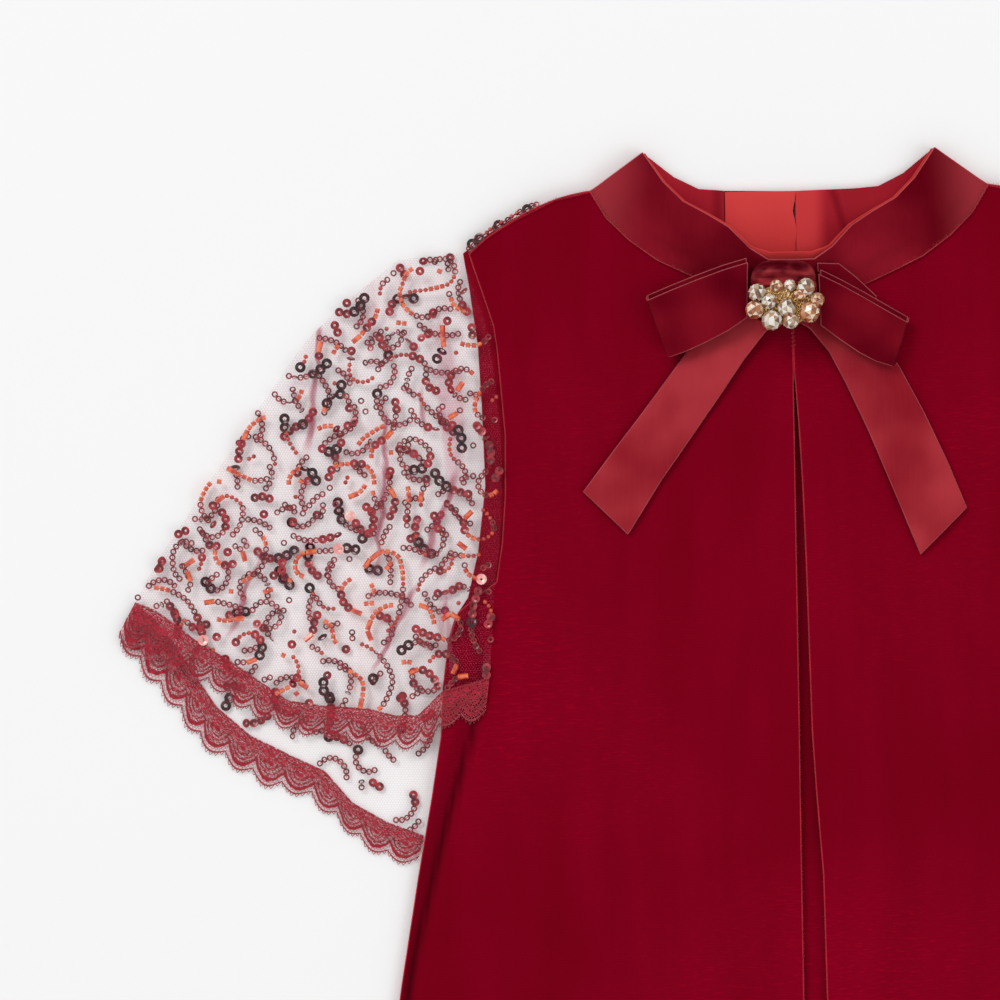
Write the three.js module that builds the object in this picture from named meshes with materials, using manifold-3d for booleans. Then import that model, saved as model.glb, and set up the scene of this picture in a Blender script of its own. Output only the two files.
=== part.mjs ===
// A toddler's party dress that lies flat on its back, front up.
// Millimetres, +Z up from the surface, +Y towards the collar, +X to the right of the picture.
// Every piece of cloth is a wall: a grid of points on its middle surface, given a thickness.
import * as THREE from 'three';
import Module from 'manifold-3d';
import { mergeVertices } from 'three/addons/utils/BufferGeometryUtils.js';

// Cloth thicknesses
const VELVET = 1.5;
const BACK_VELVET = 1.4;
const SATIN = 1.0;
const LINING = 1.0;
const NET = 1.0;
const LACE = 1.1;
const SEAM = 0.3;

// Directions of the middle points of a folded edge, in degrees
const FOLD_ANGLES = [-45, 0, 45];

// Levels of the lower layers
const LINING_Z = BACK_VELVET + SEAM;
const LINING_TOP = LINING_Z + LINING;
const LINING_FOOT_Y = 45;
const LINING_FADE = 23;

// Front opening pleat
const CENTRE_X = 0.35;
const PLEAT_TOP_Y = 190;
const PLEAT_DEPTH = 21;
const PLEAT_FOLD_R = 0.925;
const PLEAT_LIFT = 3.75;
const PLEAT_RAMP = 16;
const PLEAT_FADE = 22;

// Shape of the front between the pleat and the side seams
const SIDE_ROLL = 14;
const SIDE_LIFT = 1.4;
const FLUTE_TOP_Y = 130;
const FLUTE_FOOT_Y = -278;
const FLUTE_HEIGHT = 1.0;
const FLUTE_PITCH = 46;
const FLUTE_START = 30;

// Collar
const COLLAR_RISE = 8;
const COLLAR_SPREAD = 62;
const COLLAR_ROWS = 5;
const COLLAR_SEAM = 0.7;

// Sleeve
const SLEEVE_ROWS = 9;
const FRONT_SCALLOPS = 16;
const BACK_SCALLOPS = 12;
const STEPS_PER_SCALLOP = 4;
const SCALLOP_DEPTH = 3.6;
const OVER_VELVET_Z = 5.5;
const STRIP_Z = 3.8;
const CUFF_Z = 2.5;
const EDGE_FOLD_R = 1.0;
const NET_OVERHANG = 8;
const NET_CLEAR = 0.5;
const RIPPLE = 0.45;
const RIPPLES_ACROSS = 5.5;
const LACE_SEAM = 0.45;

// Bow
const BOW_LOOP_GAP = 3.3;
const TIP_ROUND = 1.3;
const RIBBON_STEPS = 4;
const KNOT_Z = 18.0;
const BEAD_PAD_Z = 22.2;
const KNOT = { x: -3.6, y: 220.8, halfX: 13.4, halfY: 13, halfZ: 4, square: 0.6 };
const PAD = { x: -3.4, y: 216.6, radiusX: 15, radiusY: 10.4, radiusZ: 1.1, up: 1.3 };

const COLOURS = {
  velvet: 0x760016,
  satin: 0x7a1522,
  ribbon: 0x9c2c38,
  lining: 0xc43c40,
  net: 0xd9c3bb,
  lace: 0x96192d,
  crystal: 0xc9a27a,
};

// Front rows, hem to shoulder: inner end, outer end and how far the row arches.
const FRONT_ROWS = [
  { inX: 0, inY: -278.4, outX: 190, outY: -266, arch: -3 },
  { inX: 0, inY: -235, outX: 184.5, outY: -224, arch: -2 },
  { inX: 0, inY: -180, outX: 178, outY: -171, arch: -1 },
  { inX: 0, inY: -120, outX: 169.5, outY: -114, arch: 0 },
  { inX: 0, inY: -58, outX: 160.9, outY: -55, arch: 0 },
  { inX: 0, inY: -12, outX: 153.2, outY: -10, arch: 0 },
  { inX: 0, inY: 22, outX: 147.2, outY: 22, arch: 0 },
  { inX: 0, inY: 46, outX: 143.2, outY: 46, arch: 0 },
  { inX: 0, inY: 66, outX: 142, outY: 66, arch: 0 },
  { inX: 0, inY: 84, outX: 139.6, outY: 84, arch: 0 },
  { inX: 0, inY: 97, outX: 135.4, outY: 95.5, arch: 0 },
  { inX: 0, inY: 106, outX: 127.5, outY: 102, arch: 0 },
  { inX: 0, inY: 114, outX: 119.8, outY: 107.5, arch: 0 },
  { inX: 0, inY: 126, outX: 117.3, outY: 123, arch: 0 },
  { inX: 0, inY: 144, outX: 115.8, outY: 142, arch: 0 },
  { inX: 0, inY: 166, outX: 115.4, outY: 166, arch: 0 },
  { inX: 0, inY: 190, outX: 116.9, outY: 186, arch: 0 },
  { inX: 0, inY: 204, outX: 118, outY: 200, arch: 0 },
  { inX: 0, inY: 217.5, outX: 119.3, outY: 210, arch: 0 },
  { inX: 12, inY: 218.6, outX: 121.4, outY: 216.5, arch: 0.2 },
  { inX: 25, inY: 222.6, outX: 123.2, outY: 222, arch: 0.5 },
  { inX: 38.4, inY: 228.5, outX: 124.8, outY: 227, arch: 1.0 },
  { inX: 53, inY: 235.5, outX: 126.2, outY: 231.2, arch: 1.8 },
  { inX: 64, inY: 243.6, outX: 127.3, outY: 234.4, arch: 2.8 },
  { inX: 73, inY: 252.6, outX: 128.0, outY: 236.9, arch: 3.8 },
  { inX: 79.3, inY: 263.4, outX: 128.7, outY: 239.2, arch: 4.6 },
];
const FIRST_NECK_ROW = 18;
const FRONT_ACROSS = [
  0, 0.03, 0.07, 0.12, 0.16, 0.2, 0.25, 0.33, 0.43, 0.54, 0.65, 0.76, 0.86, 0.93, 0.975, 1,
];

// Width of the pleat's mouth down the front
const PLEAT_MOUTH = [
  { y: -278.4, gap: 14 },
  { y: -54, gap: 9.0 },
  { y: -8, gap: 8.4 },
  { y: 38, gap: 5.0 },
  { y: 114, gap: 3.6 },
  { y: 158, gap: 2.4 },
  { y: 184, gap: 0.3 },
  { y: 300, gap: 0.3 },
];

// Back rows, hem to shoulder
const BACK_ROWS = [
  { inX: 0, inY: -278.4, outX: 190, outY: -266, arch: -3 },
  { inX: 0, inY: -171, outX: 178, outY: -171, arch: 0 },
  { inX: 0, inY: -55, outX: 160.9, outY: -55, arch: 0 },
  { inX: 0, inY: 22, outX: 147.2, outY: 22, arch: 0 },
  { inX: 0, inY: 46, outX: 143.2, outY: 46, arch: 0 },
  { inX: 0, inY: 66, outX: 142, outY: 66, arch: 0 },
  { inX: 0, inY: 85, outX: 139.4, outY: 85, arch: 0 },
  { inX: 0, inY: 94, outX: 136.6, outY: 93.5, arch: 0 },
  { inX: 0, inY: 103, outX: 131.3, outY: 101.3, arch: 0 },
  { inX: 0, inY: 120, outX: 127.0, outY: 119.2, arch: 0 },
  { inX: 0, inY: 146, outX: 123.6, outY: 145.9, arch: 0 },
  { inX: 0, inY: 176, outX: 124.4, outY: 176.4, arch: 0 },
  { inX: 0, inY: 206, outX: 125.6, outY: 202, arch: 0 },
  { inX: 0, inY: 238, outX: 127.6, outY: 217, arch: 0 },
  { inX: 26.2, inY: 239.4, outX: 128.6, outY: 225, arch: 0.4 },
  { inX: 42, inY: 242, outX: 129.4, outY: 230, arch: 1.4 },
  { inX: 60, inY: 249, outX: 130.2, outY: 234.5, arch: 2.8 },
  { inX: 79.3, inY: 263.4, outX: 130.9, outY: 239.2, arch: 4.6 },
];
const FIRST_BACK_NECK_ROW = 13;
const FIRST_LINING_ROW = 4;
const BACK_ACROSS = [0, 0.33, 0.66, 0.86, 1];

// Upper edge of the collar, a point for each neck row, centre to shoulder
const FRONT_COLLAR_TOP = [
  { x: 0, y: 234.2 },
  { x: 9, y: 234.4 },
  { x: 16, y: 239 },
  { x: 24.5, y: 247.8 },
  { x: 34, y: 253.8 },
  { x: 42.5, y: 258.6 },
  { x: 50.2, y: 266.4 },
  { x: 58.4, y: 278.4 },
];
const BACK_COLLAR_TOP = [
  { x: 0, y: 262 },
  { x: 26.2, y: 262.6 },
  { x: 36, y: 263.4 },
  { x: 46, y: 268.4 },
  { x: 58.4, y: 278.4 },
];
const PLACKET_LEFT_X = -25.6;
const PLACKET_RIGHT_X = 2.4;
const PLACKET_ROWS_Y = [60, 160, 238, 262];
const BACK_RIGHT_INNER = PLACKET_RIGHT_X + SEAM;

// Sleeve edges in plan, x as a distance from the middle of the dress
const SLEEVE_FOLD = [
  [132.2, 239.2], [148.5, 238.6], [159.5, 235.3], [176.4, 221.9], [196.2, 202.7], [215, 175.5],
  [227.5, 158.3], [245, 132.5], [256.9, 115.5], [264.8, 101.5],
];
const FRONT_ARMHOLE_EDGE = [
  [129.6, 238.8], [125.7, 227.2], [122.4, 216.6], [120.2, 209.8], [118.8, 199.9], [117.6, 186.1],
  [116.2, 166], [116.6, 142], [118.1, 123.4],
];
const FRONT_UNDERARM = [[118.1, 123.4], [120.3, 108], [121.6, 90], [123.2, 69]];
const FRONT_NET_HEM = [
  [264.8, 101.5], [257.2, 98.3], [248.7, 92.3], [241.3, 86.2], [225.4, 76.3], [214.8, 68.7],
  [204.2, 61.2], [190, 58.8], [172.1, 57.4], [161.5, 54.4], [152, 54.5], [142, 64], [123.2, 69],
];
const FRONT_LACE_EDGE = [
  [272, 88.5], [263.2, 82], [255, 78.5], [245, 73], [232, 67.4], [221, 58.5], [210, 53.6],
  [200, 49.4], [186, 47.6], [172, 44.6], [160, 42.6], [151, 43], [141, 52], [125.2, 54.5],
];
const BACK_ARMHOLE_EDGE = [
  [132.2, 239.2], [130.1, 225.8], [128.9, 217], [126.9, 202], [125.6, 176.4], [125.1, 146],
  [128.6, 120.6], [133.4, 104.6],
];
const BACK_SIDE_EDGE = [
  [133.4, 104.6], [139.0, 97.4], [142.6, 87], [143.9, 66], [144.9, 46], [148.6, 22.4], [151.4, 6],
];
const BACK_NET_HEM = [
  [264.8, 101.5], [252, 88], [243, 74.5], [233.3, 59.2], [219.5, 47.2], [204.6, 39.5],
  [190, 32.5], [179, 19.6], [165, 11.4], [151.4, 6],
];
const BACK_LACE_EDGE = [
  [272, 88.5], [260, 73], [249, 60], [238.8, 45.6], [226, 36.4], [212, 28], [198, 24.4],
  [187, 15.6], [176, 5], [165, -1.8], [153.2, -4],
];

// Ribbon tails, top to tip: left and right edge
const LEFT_TAIL = [
  { lx: -12, ly: 222, rx: -5, ry: 212, up: 6.0 },
  { lx: -24, ly: 215.5, rx: -11, ry: 205, up: 3.4 },
  { lx: -37, ly: 204.8, rx: -19.5, ry: 194.5, up: 1.7 },
  { lx: -48, ly: 190.4, rx: -29.4, ry: 180, up: 1.0 },
  { lx: -60, ly: 174.6, rx: -40.4, ry: 164.6, up: 0.6 },
  { lx: -72.6, ly: 158.6, rx: -52.8, ry: 147.4, up: 0.9 },
  { lx: -84.6, ly: 142.9, rx: -66.9, ry: 125.4, up: 0.5 },
];
const RIGHT_TAIL = [
  { lx: -2.5, ly: 212, rx: 8, ry: 221, up: 6.0 },
  { lx: 7, ly: 206.4, rx: 22, ry: 214, up: 3.2 },
  { lx: 14.5, ly: 197, rx: 32.4, ry: 206, up: 1.4 },
  { lx: 21.4, ly: 183.6, rx: 42.6, ry: 191, up: 0.8 },
  { lx: 29.4, ly: 166, rx: 52, ry: 173, up: 0.6 },
  { lx: 39, ly: 142.6, rx: 61.4, ry: 152.4, up: 1.0 },
  { lx: 49.9, ly: 115.4, rx: 68.8, ry: 134, up: 0.5 },
];

// Ribbon loops, knot to tip: upper and lower edge in plan and the level of the under layer
const LEFT_LOOP = [
  { ux: -17.6, uy: 233, dx: -18.2, dy: 211, z: 15.2 },
  { ux: -27, uy: 230.4, dx: -25.6, dy: 206, z: 14.2 },
  { ux: -38, uy: 226.6, dx: -34.4, dy: 201.6, z: 12.4 },
  { ux: -48, uy: 222.8, dx: -42.6, dy: 198, z: 10.6 },
  { ux: -56.4, uy: 219.4, dx: -48.6, dy: 196, z: 9.4 },
];
const RIGHT_LOOP = [
  { ux: 10.2, uy: 228, dx: 10.8, dy: 207.4, z: 15.2 },
  { ux: 19, uy: 223.6, dx: 18.4, dy: 201.6, z: 14.2 },
  { ux: 28.4, uy: 218.4, dx: 26, dy: 196.4, z: 12.4 },
  { ux: 37, uy: 213.4, dx: 32.6, dy: 192.8, z: 10.6 },
  { ux: 44.6, uy: 209, dx: 38.6, dy: 191, z: 9.4 },
];
const BACK_LOOP = [
  { ux: 10.2, uy: 232.6, dx: 10.4, dy: 229, z: 12.4 },
  { ux: 19, uy: 232.2, dx: 18, dy: 225, z: 12.0 },
  { ux: 26, uy: 226.6, dx: 25, dy: 219.6, z: 10.9 },
  { ux: 34, uy: 219, dx: 33, dy: 215.4, z: 9.4 },
];

// Large beads of the cluster: place and radius
const BEADS = [
  { x: -15.0, y: 221.7, r: 3.3 },
  { x: -16.1, y: 214.6, r: 3.3 },
  { x: -8.9, y: 209.2, r: 3.8 },
  { x: -1.4, y: 209.0, r: 2.9 },
  { x: 6.0, y: 212.3, r: 3.8 },
  { x: 9.3, y: 217.6, r: 2.7 },
  { x: 5.4, y: 224.1, r: 3.3 },
  { x: -6.4, y: 224.6, r: 2.3 },
  { x: -1.2, y: 224.8, r: 2.2 },
  { x: -2.9, y: 214.4, r: 3.4 },
  { x: -9.9, y: 217.0, r: 2.8 },
  { x: 2.6, y: 219.6, r: 2.4 },
];

const v3 = (x, y, z) => new THREE.Vector3(x, y, z);
const lerp = THREE.MathUtils.lerp;

// 0 up to a, 1 past b, and a smooth rise between them
function ease(x, a, b) {
  const t = THREE.MathUtils.clamp((x - a) / (b - a), 0, 1);
  return t * t * (3 - 2 * t);
}

// Reads a value at y from a table sorted by its y column
function tableAt(table, y, column) {
  if (y <= table[0].y) return table[0][column];
  for (let i = 1; i < table.length; i += 1) {
    if (y <= table[i].y) {
      const t = (y - table[i - 1].y) / (table[i].y - table[i - 1].y);
      return lerp(table[i - 1][column], table[i][column], t);
    }
  }
  return table[table.length - 1][column];
}

const BODY_EDGE = FRONT_ROWS.map((row) => ({ y: row.outY, x: row.outX }));

// Underside of the front's cloth at a place
function frontUnderside(x, y) {
  const base = lerp(BACK_VELVET, LINING_TOP, ease(y, LINING_FOOT_Y - LINING_FADE, LINING_FOOT_Y - 2));
  const across = Math.abs(x);
  const inside = tableAt(BODY_EDGE, y, 'x') - across;
  const plateau = SIDE_LIFT * ease(inside, 0, SIDE_ROLL);
  const fluteSize = FLUTE_HEIGHT * (1 - ease(y, FLUTE_FOOT_Y, FLUTE_TOP_Y)) * ease(inside, 4, 30);
  const flute = fluteSize * 0.5 * (1 - Math.cos((2 * Math.PI * (across - FLUTE_START)) / FLUTE_PITCH));
  const fromFold = Math.min(Math.abs(x - CENTRE_X), Math.abs(x - CENTRE_X - tableAt(PLEAT_MOUTH, y, 'gap')));
  const nearPleat = 1 - ease(fromFold, PLEAT_DEPTH + 3, PLEAT_DEPTH + 3 + PLEAT_RAMP);
  const pleat = nearPleat * (1 - ease(y, PLEAT_TOP_Y + 3, PLEAT_TOP_Y + 3 + PLEAT_FADE));
  const nearNeck = ease(y, PLEAT_TOP_Y + 3, PLEAT_TOP_Y + 3 + PLEAT_FADE);
  const open = (plateau + flute) * (1 - nearNeck * (1 - ease(across, 60, 100)));
  return base + SEAM + lerp(open, PLEAT_LIFT, pleat);
}

// Points of a row between its two ends, arched upwards in the middle
function rowPoints(row, side, innerX, fractions, level) {
  const inX = side * row.inX + innerX;
  const outX = side * row.outX;
  return fractions.map((f) => {
    const x = lerp(inX, outX, f);
    const y = lerp(row.inY, row.outY, f) + row.arch * 4 * f * (1 - f);
    return v3(x, y, level(x, y));
  });
}

function gridNormals(grid) {
  const last = grid.length - 1;
  const end = grid[0].length - 1;
  return grid.map((row, r) => row.map((point, c) => {
    const along = grid[Math.min(r + 1, last)][c].clone().sub(grid[Math.max(r - 1, 0)][c]);
    const across = row[Math.min(c + 1, end)].clone().sub(row[Math.max(c - 1, 0)]);
    return along.cross(across).normalize();
  }));
}

function signedVolume(positions, indices) {
  const a = new THREE.Vector3();
  const b = new THREE.Vector3();
  const c = new THREE.Vector3();
  let volume = 0;
  for (let i = 0; i < indices.length; i += 3) {
    a.fromArray(positions, indices[i] * 3);
    b.fromArray(positions, indices[i + 1] * 3);
    c.fromArray(positions, indices[i + 2] * 3);
    volume += a.dot(b.cross(c));
  }
  return volume;
}

function solidFrom(positions, indices) {
  if (signedVolume(positions, indices) < 0) {
    for (let i = 0; i < indices.length; i += 3) {
      [indices[i + 1], indices[i + 2]] = [indices[i + 2], indices[i + 1]];
    }
  }
  const geometry = new THREE.BufferGeometry();
  geometry.setAttribute('position', new THREE.Float32BufferAttribute(positions, 3));
  geometry.setIndex(indices);
  geometry.computeVertexNormals();
  return geometry;
}

// A closed wall with the grid as its middle surface
function wall(grid, thickness) {
  const rows = grid.length;
  const columns = grid[0].length;
  const normals = gridNormals(grid);
  const positions = [];
  for (const side of [0.5, -0.5]) {
    grid.forEach((row, r) => row.forEach((point, c) => {
      const moved = point.clone().addScaledVector(normals[r][c], side * thickness);
      positions.push(moved.x, moved.y, moved.z);
    }));
  }
  const at = (layer, r, c) => layer * rows * columns + r * columns + c;
  const indices = [];
  const quad = (a, b, c, d) => indices.push(a, b, c, a, c, d);
  for (let r = 0; r < rows - 1; r += 1) {
    for (let c = 0; c < columns - 1; c += 1) {
      quad(at(0, r, c), at(0, r, c + 1), at(0, r + 1, c + 1), at(0, r + 1, c));
      quad(at(1, r, c), at(1, r + 1, c), at(1, r + 1, c + 1), at(1, r, c + 1));
    }
  }
  for (let c = 0; c < columns - 1; c += 1) {
    quad(at(0, 0, c), at(1, 0, c), at(1, 0, c + 1), at(0, 0, c + 1));
    quad(at(0, rows - 1, c), at(0, rows - 1, c + 1), at(1, rows - 1, c + 1), at(1, rows - 1, c));
  }
  for (let r = 0; r < rows - 1; r += 1) {
    quad(at(0, r, 0), at(0, r + 1, 0), at(1, r + 1, 0), at(1, r, 0));
    quad(at(0, r, columns - 1), at(1, r, columns - 1), at(1, r + 1, columns - 1), at(0, r + 1, columns - 1));
  }
  return solidFrom(positions, indices);
}

const mirror = (grid) => grid.map((row) => row.map((p) => v3(-p.x, p.y, p.z)));

const dress = new THREE.Group();

function add(name, geometry, colour, roughness = 0.8) {
  const material = new THREE.MeshStandardMaterial({ color: colour, roughness, metalness: 0 });
  const mesh = new THREE.Mesh(geometry, material);
  mesh.name = name;
  dress.add(mesh);
}

// The two halves of the front
function frontGrid(side) {
  return FRONT_ROWS.map((row, i) => {
    const gap = tableAt(PLEAT_MOUTH, row.inY, 'gap');
    const centre = side < 0 ? CENTRE_X : CENTRE_X + gap;
    const innerX = i <= FIRST_NECK_ROW ? centre : side * 0.3;
    const level = (x, y) => frontUnderside(x, y) + VELVET / 2;
    return rowPoints(row, side, innerX, FRONT_ACROSS, level);
  });
}

// The insert behind the pleat: a return under each fold and one layer behind them
function pleatGrid() {
  const rows = FRONT_ROWS.filter((row) => row.inX === 0 && row.inY <= PLEAT_TOP_Y);
  return rows.map((row) => {
    const y = row.inY;
    const left = CENTRE_X;
    const right = CENTRE_X + tableAt(PLEAT_MOUTH, y, 'gap');
    const base = lerp(BACK_VELVET, LINING_TOP, ease(y, LINING_FOOT_Y - LINING_FADE, LINING_FOOT_Y - 2));
    const under = base + SEAM + VELVET / 2;
    const over = under + 2 * PLEAT_FOLD_R;
    const turn = FOLD_ANGLES.map((degrees) => THREE.MathUtils.degToRad(degrees));
    const leftEnd = left - PLEAT_DEPTH;
    const rightEnd = right + PLEAT_DEPTH;
    const points = [v3(left - 0.5, y, over), v3(left - PLEAT_DEPTH / 2, y, over), v3(leftEnd, y, over)];
    for (const a of [...turn].reverse()) {
      points.push(v3(leftEnd - PLEAT_FOLD_R * Math.cos(a), y, under + PLEAT_FOLD_R * (1 + Math.sin(a))));
    }
    points.push(v3(leftEnd, y, under), v3((left + right) / 2, y, under), v3(rightEnd, y, under));
    for (const a of turn) {
      points.push(v3(rightEnd + PLEAT_FOLD_R * Math.cos(a), y, under + PLEAT_FOLD_R * (1 + Math.sin(a))));
    }
    points.push(v3(rightEnd, y, over), v3(right + PLEAT_DEPTH / 2, y, over), v3(right + 0.5, y, over));
    return points;
  });
}

// A flat half of the back or its lining; innerX is measured outwards from the middle of the dress
function backGrid(rows, side, innerX, level) {
  return rows.map((row) => {
    const edge = row.inX === 0 ? innerX : Math.max(row.inX, innerX);
    const fixed = { ...row, inX: edge };
    return rowPoints(fixed, side, 0, BACK_ACROSS, () => level);
  });
}

// The collar between a neckline and its own upper edge
function collarGrid(neck, top, seamZ, rise) {
  const grid = [];
  for (let r = 0; r < COLLAR_ROWS; r += 1) {
    const w = r / (COLLAR_ROWS - 1);
    grid.push(neck.map((n, i) => {
      const inward = v3(top[i].x - n.x, top[i].y - n.y, 0).normalize();
      const startX = n.x + inward.x * COLLAR_SEAM;
      const startY = n.y + inward.y * COLLAR_SEAM;
      const x = lerp(startX, top[i].x, w);
      const y = lerp(startY, top[i].y, w);
      const lean = rise * (1 - ease(Math.abs(n.x), 0, COLLAR_SPREAD));
      return v3(x, y, seamZ + lean * w);
    }));
  }
  return grid;
}

function bothHalves(points) {
  const left = [...points].reverse().map((p) => ({ x: -p.x, y: p.y }));
  return [...left, ...points.slice(1)];
}

// Smooth curve through plan points, read by the share of its length
function planCurve(points) {
  const path = new THREE.CatmullRomCurve3(points.map(([x, y]) => v3(x, y, 0)), false, 'centripetal');
  path.arcLengthDivisions = 400;
  return (share) => path.getPointAt(THREE.MathUtils.clamp(share, 0, 1));
}

// Surface spanned by four edges; s runs from start to finish, t from near to far
function patch(start, finish, near, far) {
  return (s, t) => {
    const a = start(t).multiplyScalar(1 - s).add(finish(t).multiplyScalar(s));
    const b = near(s).multiplyScalar(1 - t).add(far(s).multiplyScalar(t));
    const corners = start(0).multiplyScalar((1 - s) * (1 - t))
      .add(start(1).multiplyScalar((1 - s) * t))
      .add(finish(0).multiplyScalar(s * (1 - t)))
      .add(finish(1).multiplyScalar(s * t));
    return a.add(b).sub(corners);
  };
}

// Least middle level of a layer of net that lies over the velvet, x as a distance from the middle
function levelOverVelvet(x, y) {
  const outside = x - tableAt(BODY_EDGE, y, 'x');
  if (outside > NET_OVERHANG) return 0;
  return frontUnderside(x, y) + VELVET + SEAM + NET / 2 + NET_CLEAR;
}

// Middle level of the sleeve's upper layer at a place
function sleeveLevel(x, y, s, t) {
  const outside = x - tableAt(BODY_EDGE, y, 'x');
  const ramp = lerp(OVER_VELVET_Z, STRIP_Z, ease(outside, 8, 22));
  const low = lerp(ramp, CUFF_Z, ease(outside, 22, 44));
  const wave = Math.sin(2 * Math.PI * (RIPPLES_ACROSS * t + 0.4 * s));
  const ripple = RIPPLE * ease(outside, 20, 50) * ease(t, 0, 0.1) * wave;
  return Math.max(low + ripple, levelOverVelvet(x, y));
}

// Columns across the sleeve: upper layer, fold, under layer
function sleeveRow(s, upper, under, foldAt) {
  const row = [];
  for (let c = FRONT_SCALLOPS; c >= 0; c -= 1) {
    const t = c / FRONT_SCALLOPS;
    const p = upper(s, t);
    if (c === 0) {
      const edge = foldAt(s);
      p.copy(edge.point).addScaledVector(edge.inward, EDGE_FOLD_R);
    }
    row.push(v3(p.x, p.y, sleeveLevel(p.x, p.y, s, t)));
  }
  const edge = foldAt(s);
  const lowZ = NET / 2;
  const highZ = sleeveLevel(edge.point.x, edge.point.y, s, 0);
  const radius = (highZ - lowZ) / 2;
  for (const degrees of [...FOLD_ANGLES].reverse()) {
    const a = THREE.MathUtils.degToRad(degrees);
    const out = EDGE_FOLD_R * (1 - Math.cos(a));
    const p = edge.point.clone().addScaledVector(edge.inward, out);
    row.push(v3(p.x, p.y, lowZ + radius * (1 + Math.sin(a))));
  }
  for (let c = 0; c <= BACK_SCALLOPS; c += 1) {
    const t = c / BACK_SCALLOPS;
    const p = under(s, t);
    if (c === 0) p.copy(edge.point).addScaledVector(edge.inward, EDGE_FOLD_R);
    row.push(v3(p.x, p.y, lowZ));
  }
  return row;
}

function sleeveGrid() {
  const fold = planCurve(SLEEVE_FOLD);
  const edges = (armhole, hem, side) => patch(planCurve(armhole), planCurve(hem), fold, planCurve(side));
  const upper = edges(FRONT_ARMHOLE_EDGE, FRONT_NET_HEM, FRONT_UNDERARM);
  const under = edges(BACK_ARMHOLE_EDGE, BACK_NET_HEM, BACK_SIDE_EDGE);
  const foldAt = (s) => {
    const step = 0.02;
    const ahead = fold(s + step).sub(fold(s - step)).normalize();
    return { point: fold(s), inward: v3(ahead.y, -ahead.x, 0) };
  };
  const grid = [];
  for (let r = 0; r < SLEEVE_ROWS; r += 1) {
    grid.push(sleeveRow(r / (SLEEVE_ROWS - 1), upper, under, foldAt));
  }
  return grid;
}

// The lace starts on the net's hem points, moved out by the seam, and ends in scallops
function laceGrid(sleeve) {
  const hem = sleeve[sleeve.length - 1];
  const frontEdge = planCurve(FRONT_LACE_EDGE);
  const backEdge = planCurve(BACK_LACE_EDGE);
  const columns = [];
  const push = (from, to, k, steps, edgePoint, scallop) => {
    const f = k / steps;
    const start = from.clone().lerp(to, f);
    const outward = v3(edgePoint.x - start.x, edgePoint.y - start.y, 0).normalize();
    const foot = edgePoint.clone().addScaledVector(outward, scallop);
    const head = start.clone().addScaledVector(outward, LACE_SEAM);
    const low = Math.max(start.z, LACE / 2);
    const column = [head, head.clone().lerp(foot, 0.5), foot];
    const isUpper = start.z > NET;
    for (const p of column) p.z = isUpper ? Math.max(low, levelOverVelvet(p.x, p.y)) : low;
    columns.push(column);
  };
  const bulge = (k) => SCALLOP_DEPTH * (Math.sin((Math.PI * k) / STEPS_PER_SCALLOP) - 0.5);
  for (let c = 0; c < FRONT_SCALLOPS; c += 1) {
    for (let k = 0; k < STEPS_PER_SCALLOP; k += 1) {
      const share = 1 - (c + k / STEPS_PER_SCALLOP) / FRONT_SCALLOPS;
      push(hem[c], hem[c + 1], k, STEPS_PER_SCALLOP, frontEdge(share), bulge(k));
    }
  }
  // Round the fold every point of the hem moves out by the same step
  const corner = frontEdge(0);
  const foldTip = SLEEVE_FOLD[SLEEVE_FOLD.length - 1];
  const step = v3(corner.x - foldTip[0], corner.y - foldTip[1], 0);
  const along = step.clone().normalize();
  const firstBack = FRONT_SCALLOPS + FOLD_ANGLES.length + 1;
  for (let c = FRONT_SCALLOPS; c <= firstBack; c += 1) {
    const head = hem[c].clone().addScaledVector(along, LACE_SEAM);
    head.z = Math.max(head.z, LACE / 2);
    const foot = head.clone().add(step).addScaledVector(along, -SCALLOP_DEPTH / 2);
    columns.push([head, head.clone().lerp(foot, 0.5), foot]);
  }
  for (let c = 0; c < BACK_SCALLOPS; c += 1) {
    for (let k = c === 0 ? 1 : 0; k < STEPS_PER_SCALLOP; k += 1) {
      const share = (c + k / STEPS_PER_SCALLOP) / BACK_SCALLOPS;
      push(hem[firstBack + c], hem[firstBack + c + 1], k, STEPS_PER_SCALLOP, backEdge(share), bulge(k));
    }
  }
  const lastHem = hem[hem.length - 1];
  push(lastHem, lastHem, 0, 1, backEdge(1), -SCALLOP_DEPTH / 2);
  return [0, 1, 2].map((r) => columns.map((column) => column[r]));
}

// A ribbon tail from the knot down onto the velvet
function tailGrid(rows) {
  return rows.map((row) => {
    const points = [];
    for (let c = 0; c <= RIBBON_STEPS; c += 1) {
      const f = c / RIBBON_STEPS;
      const x = lerp(row.lx, row.rx, f);
      const y = lerp(row.ly, row.ry, f);
      const hollow = 0.5 * Math.sin(Math.PI * f);
      points.push(v3(x, y, frontUnderside(x, y) + VELVET + SEAM + SATIN / 2 + row.up + hollow));
    }
    return points;
  });
}

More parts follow.
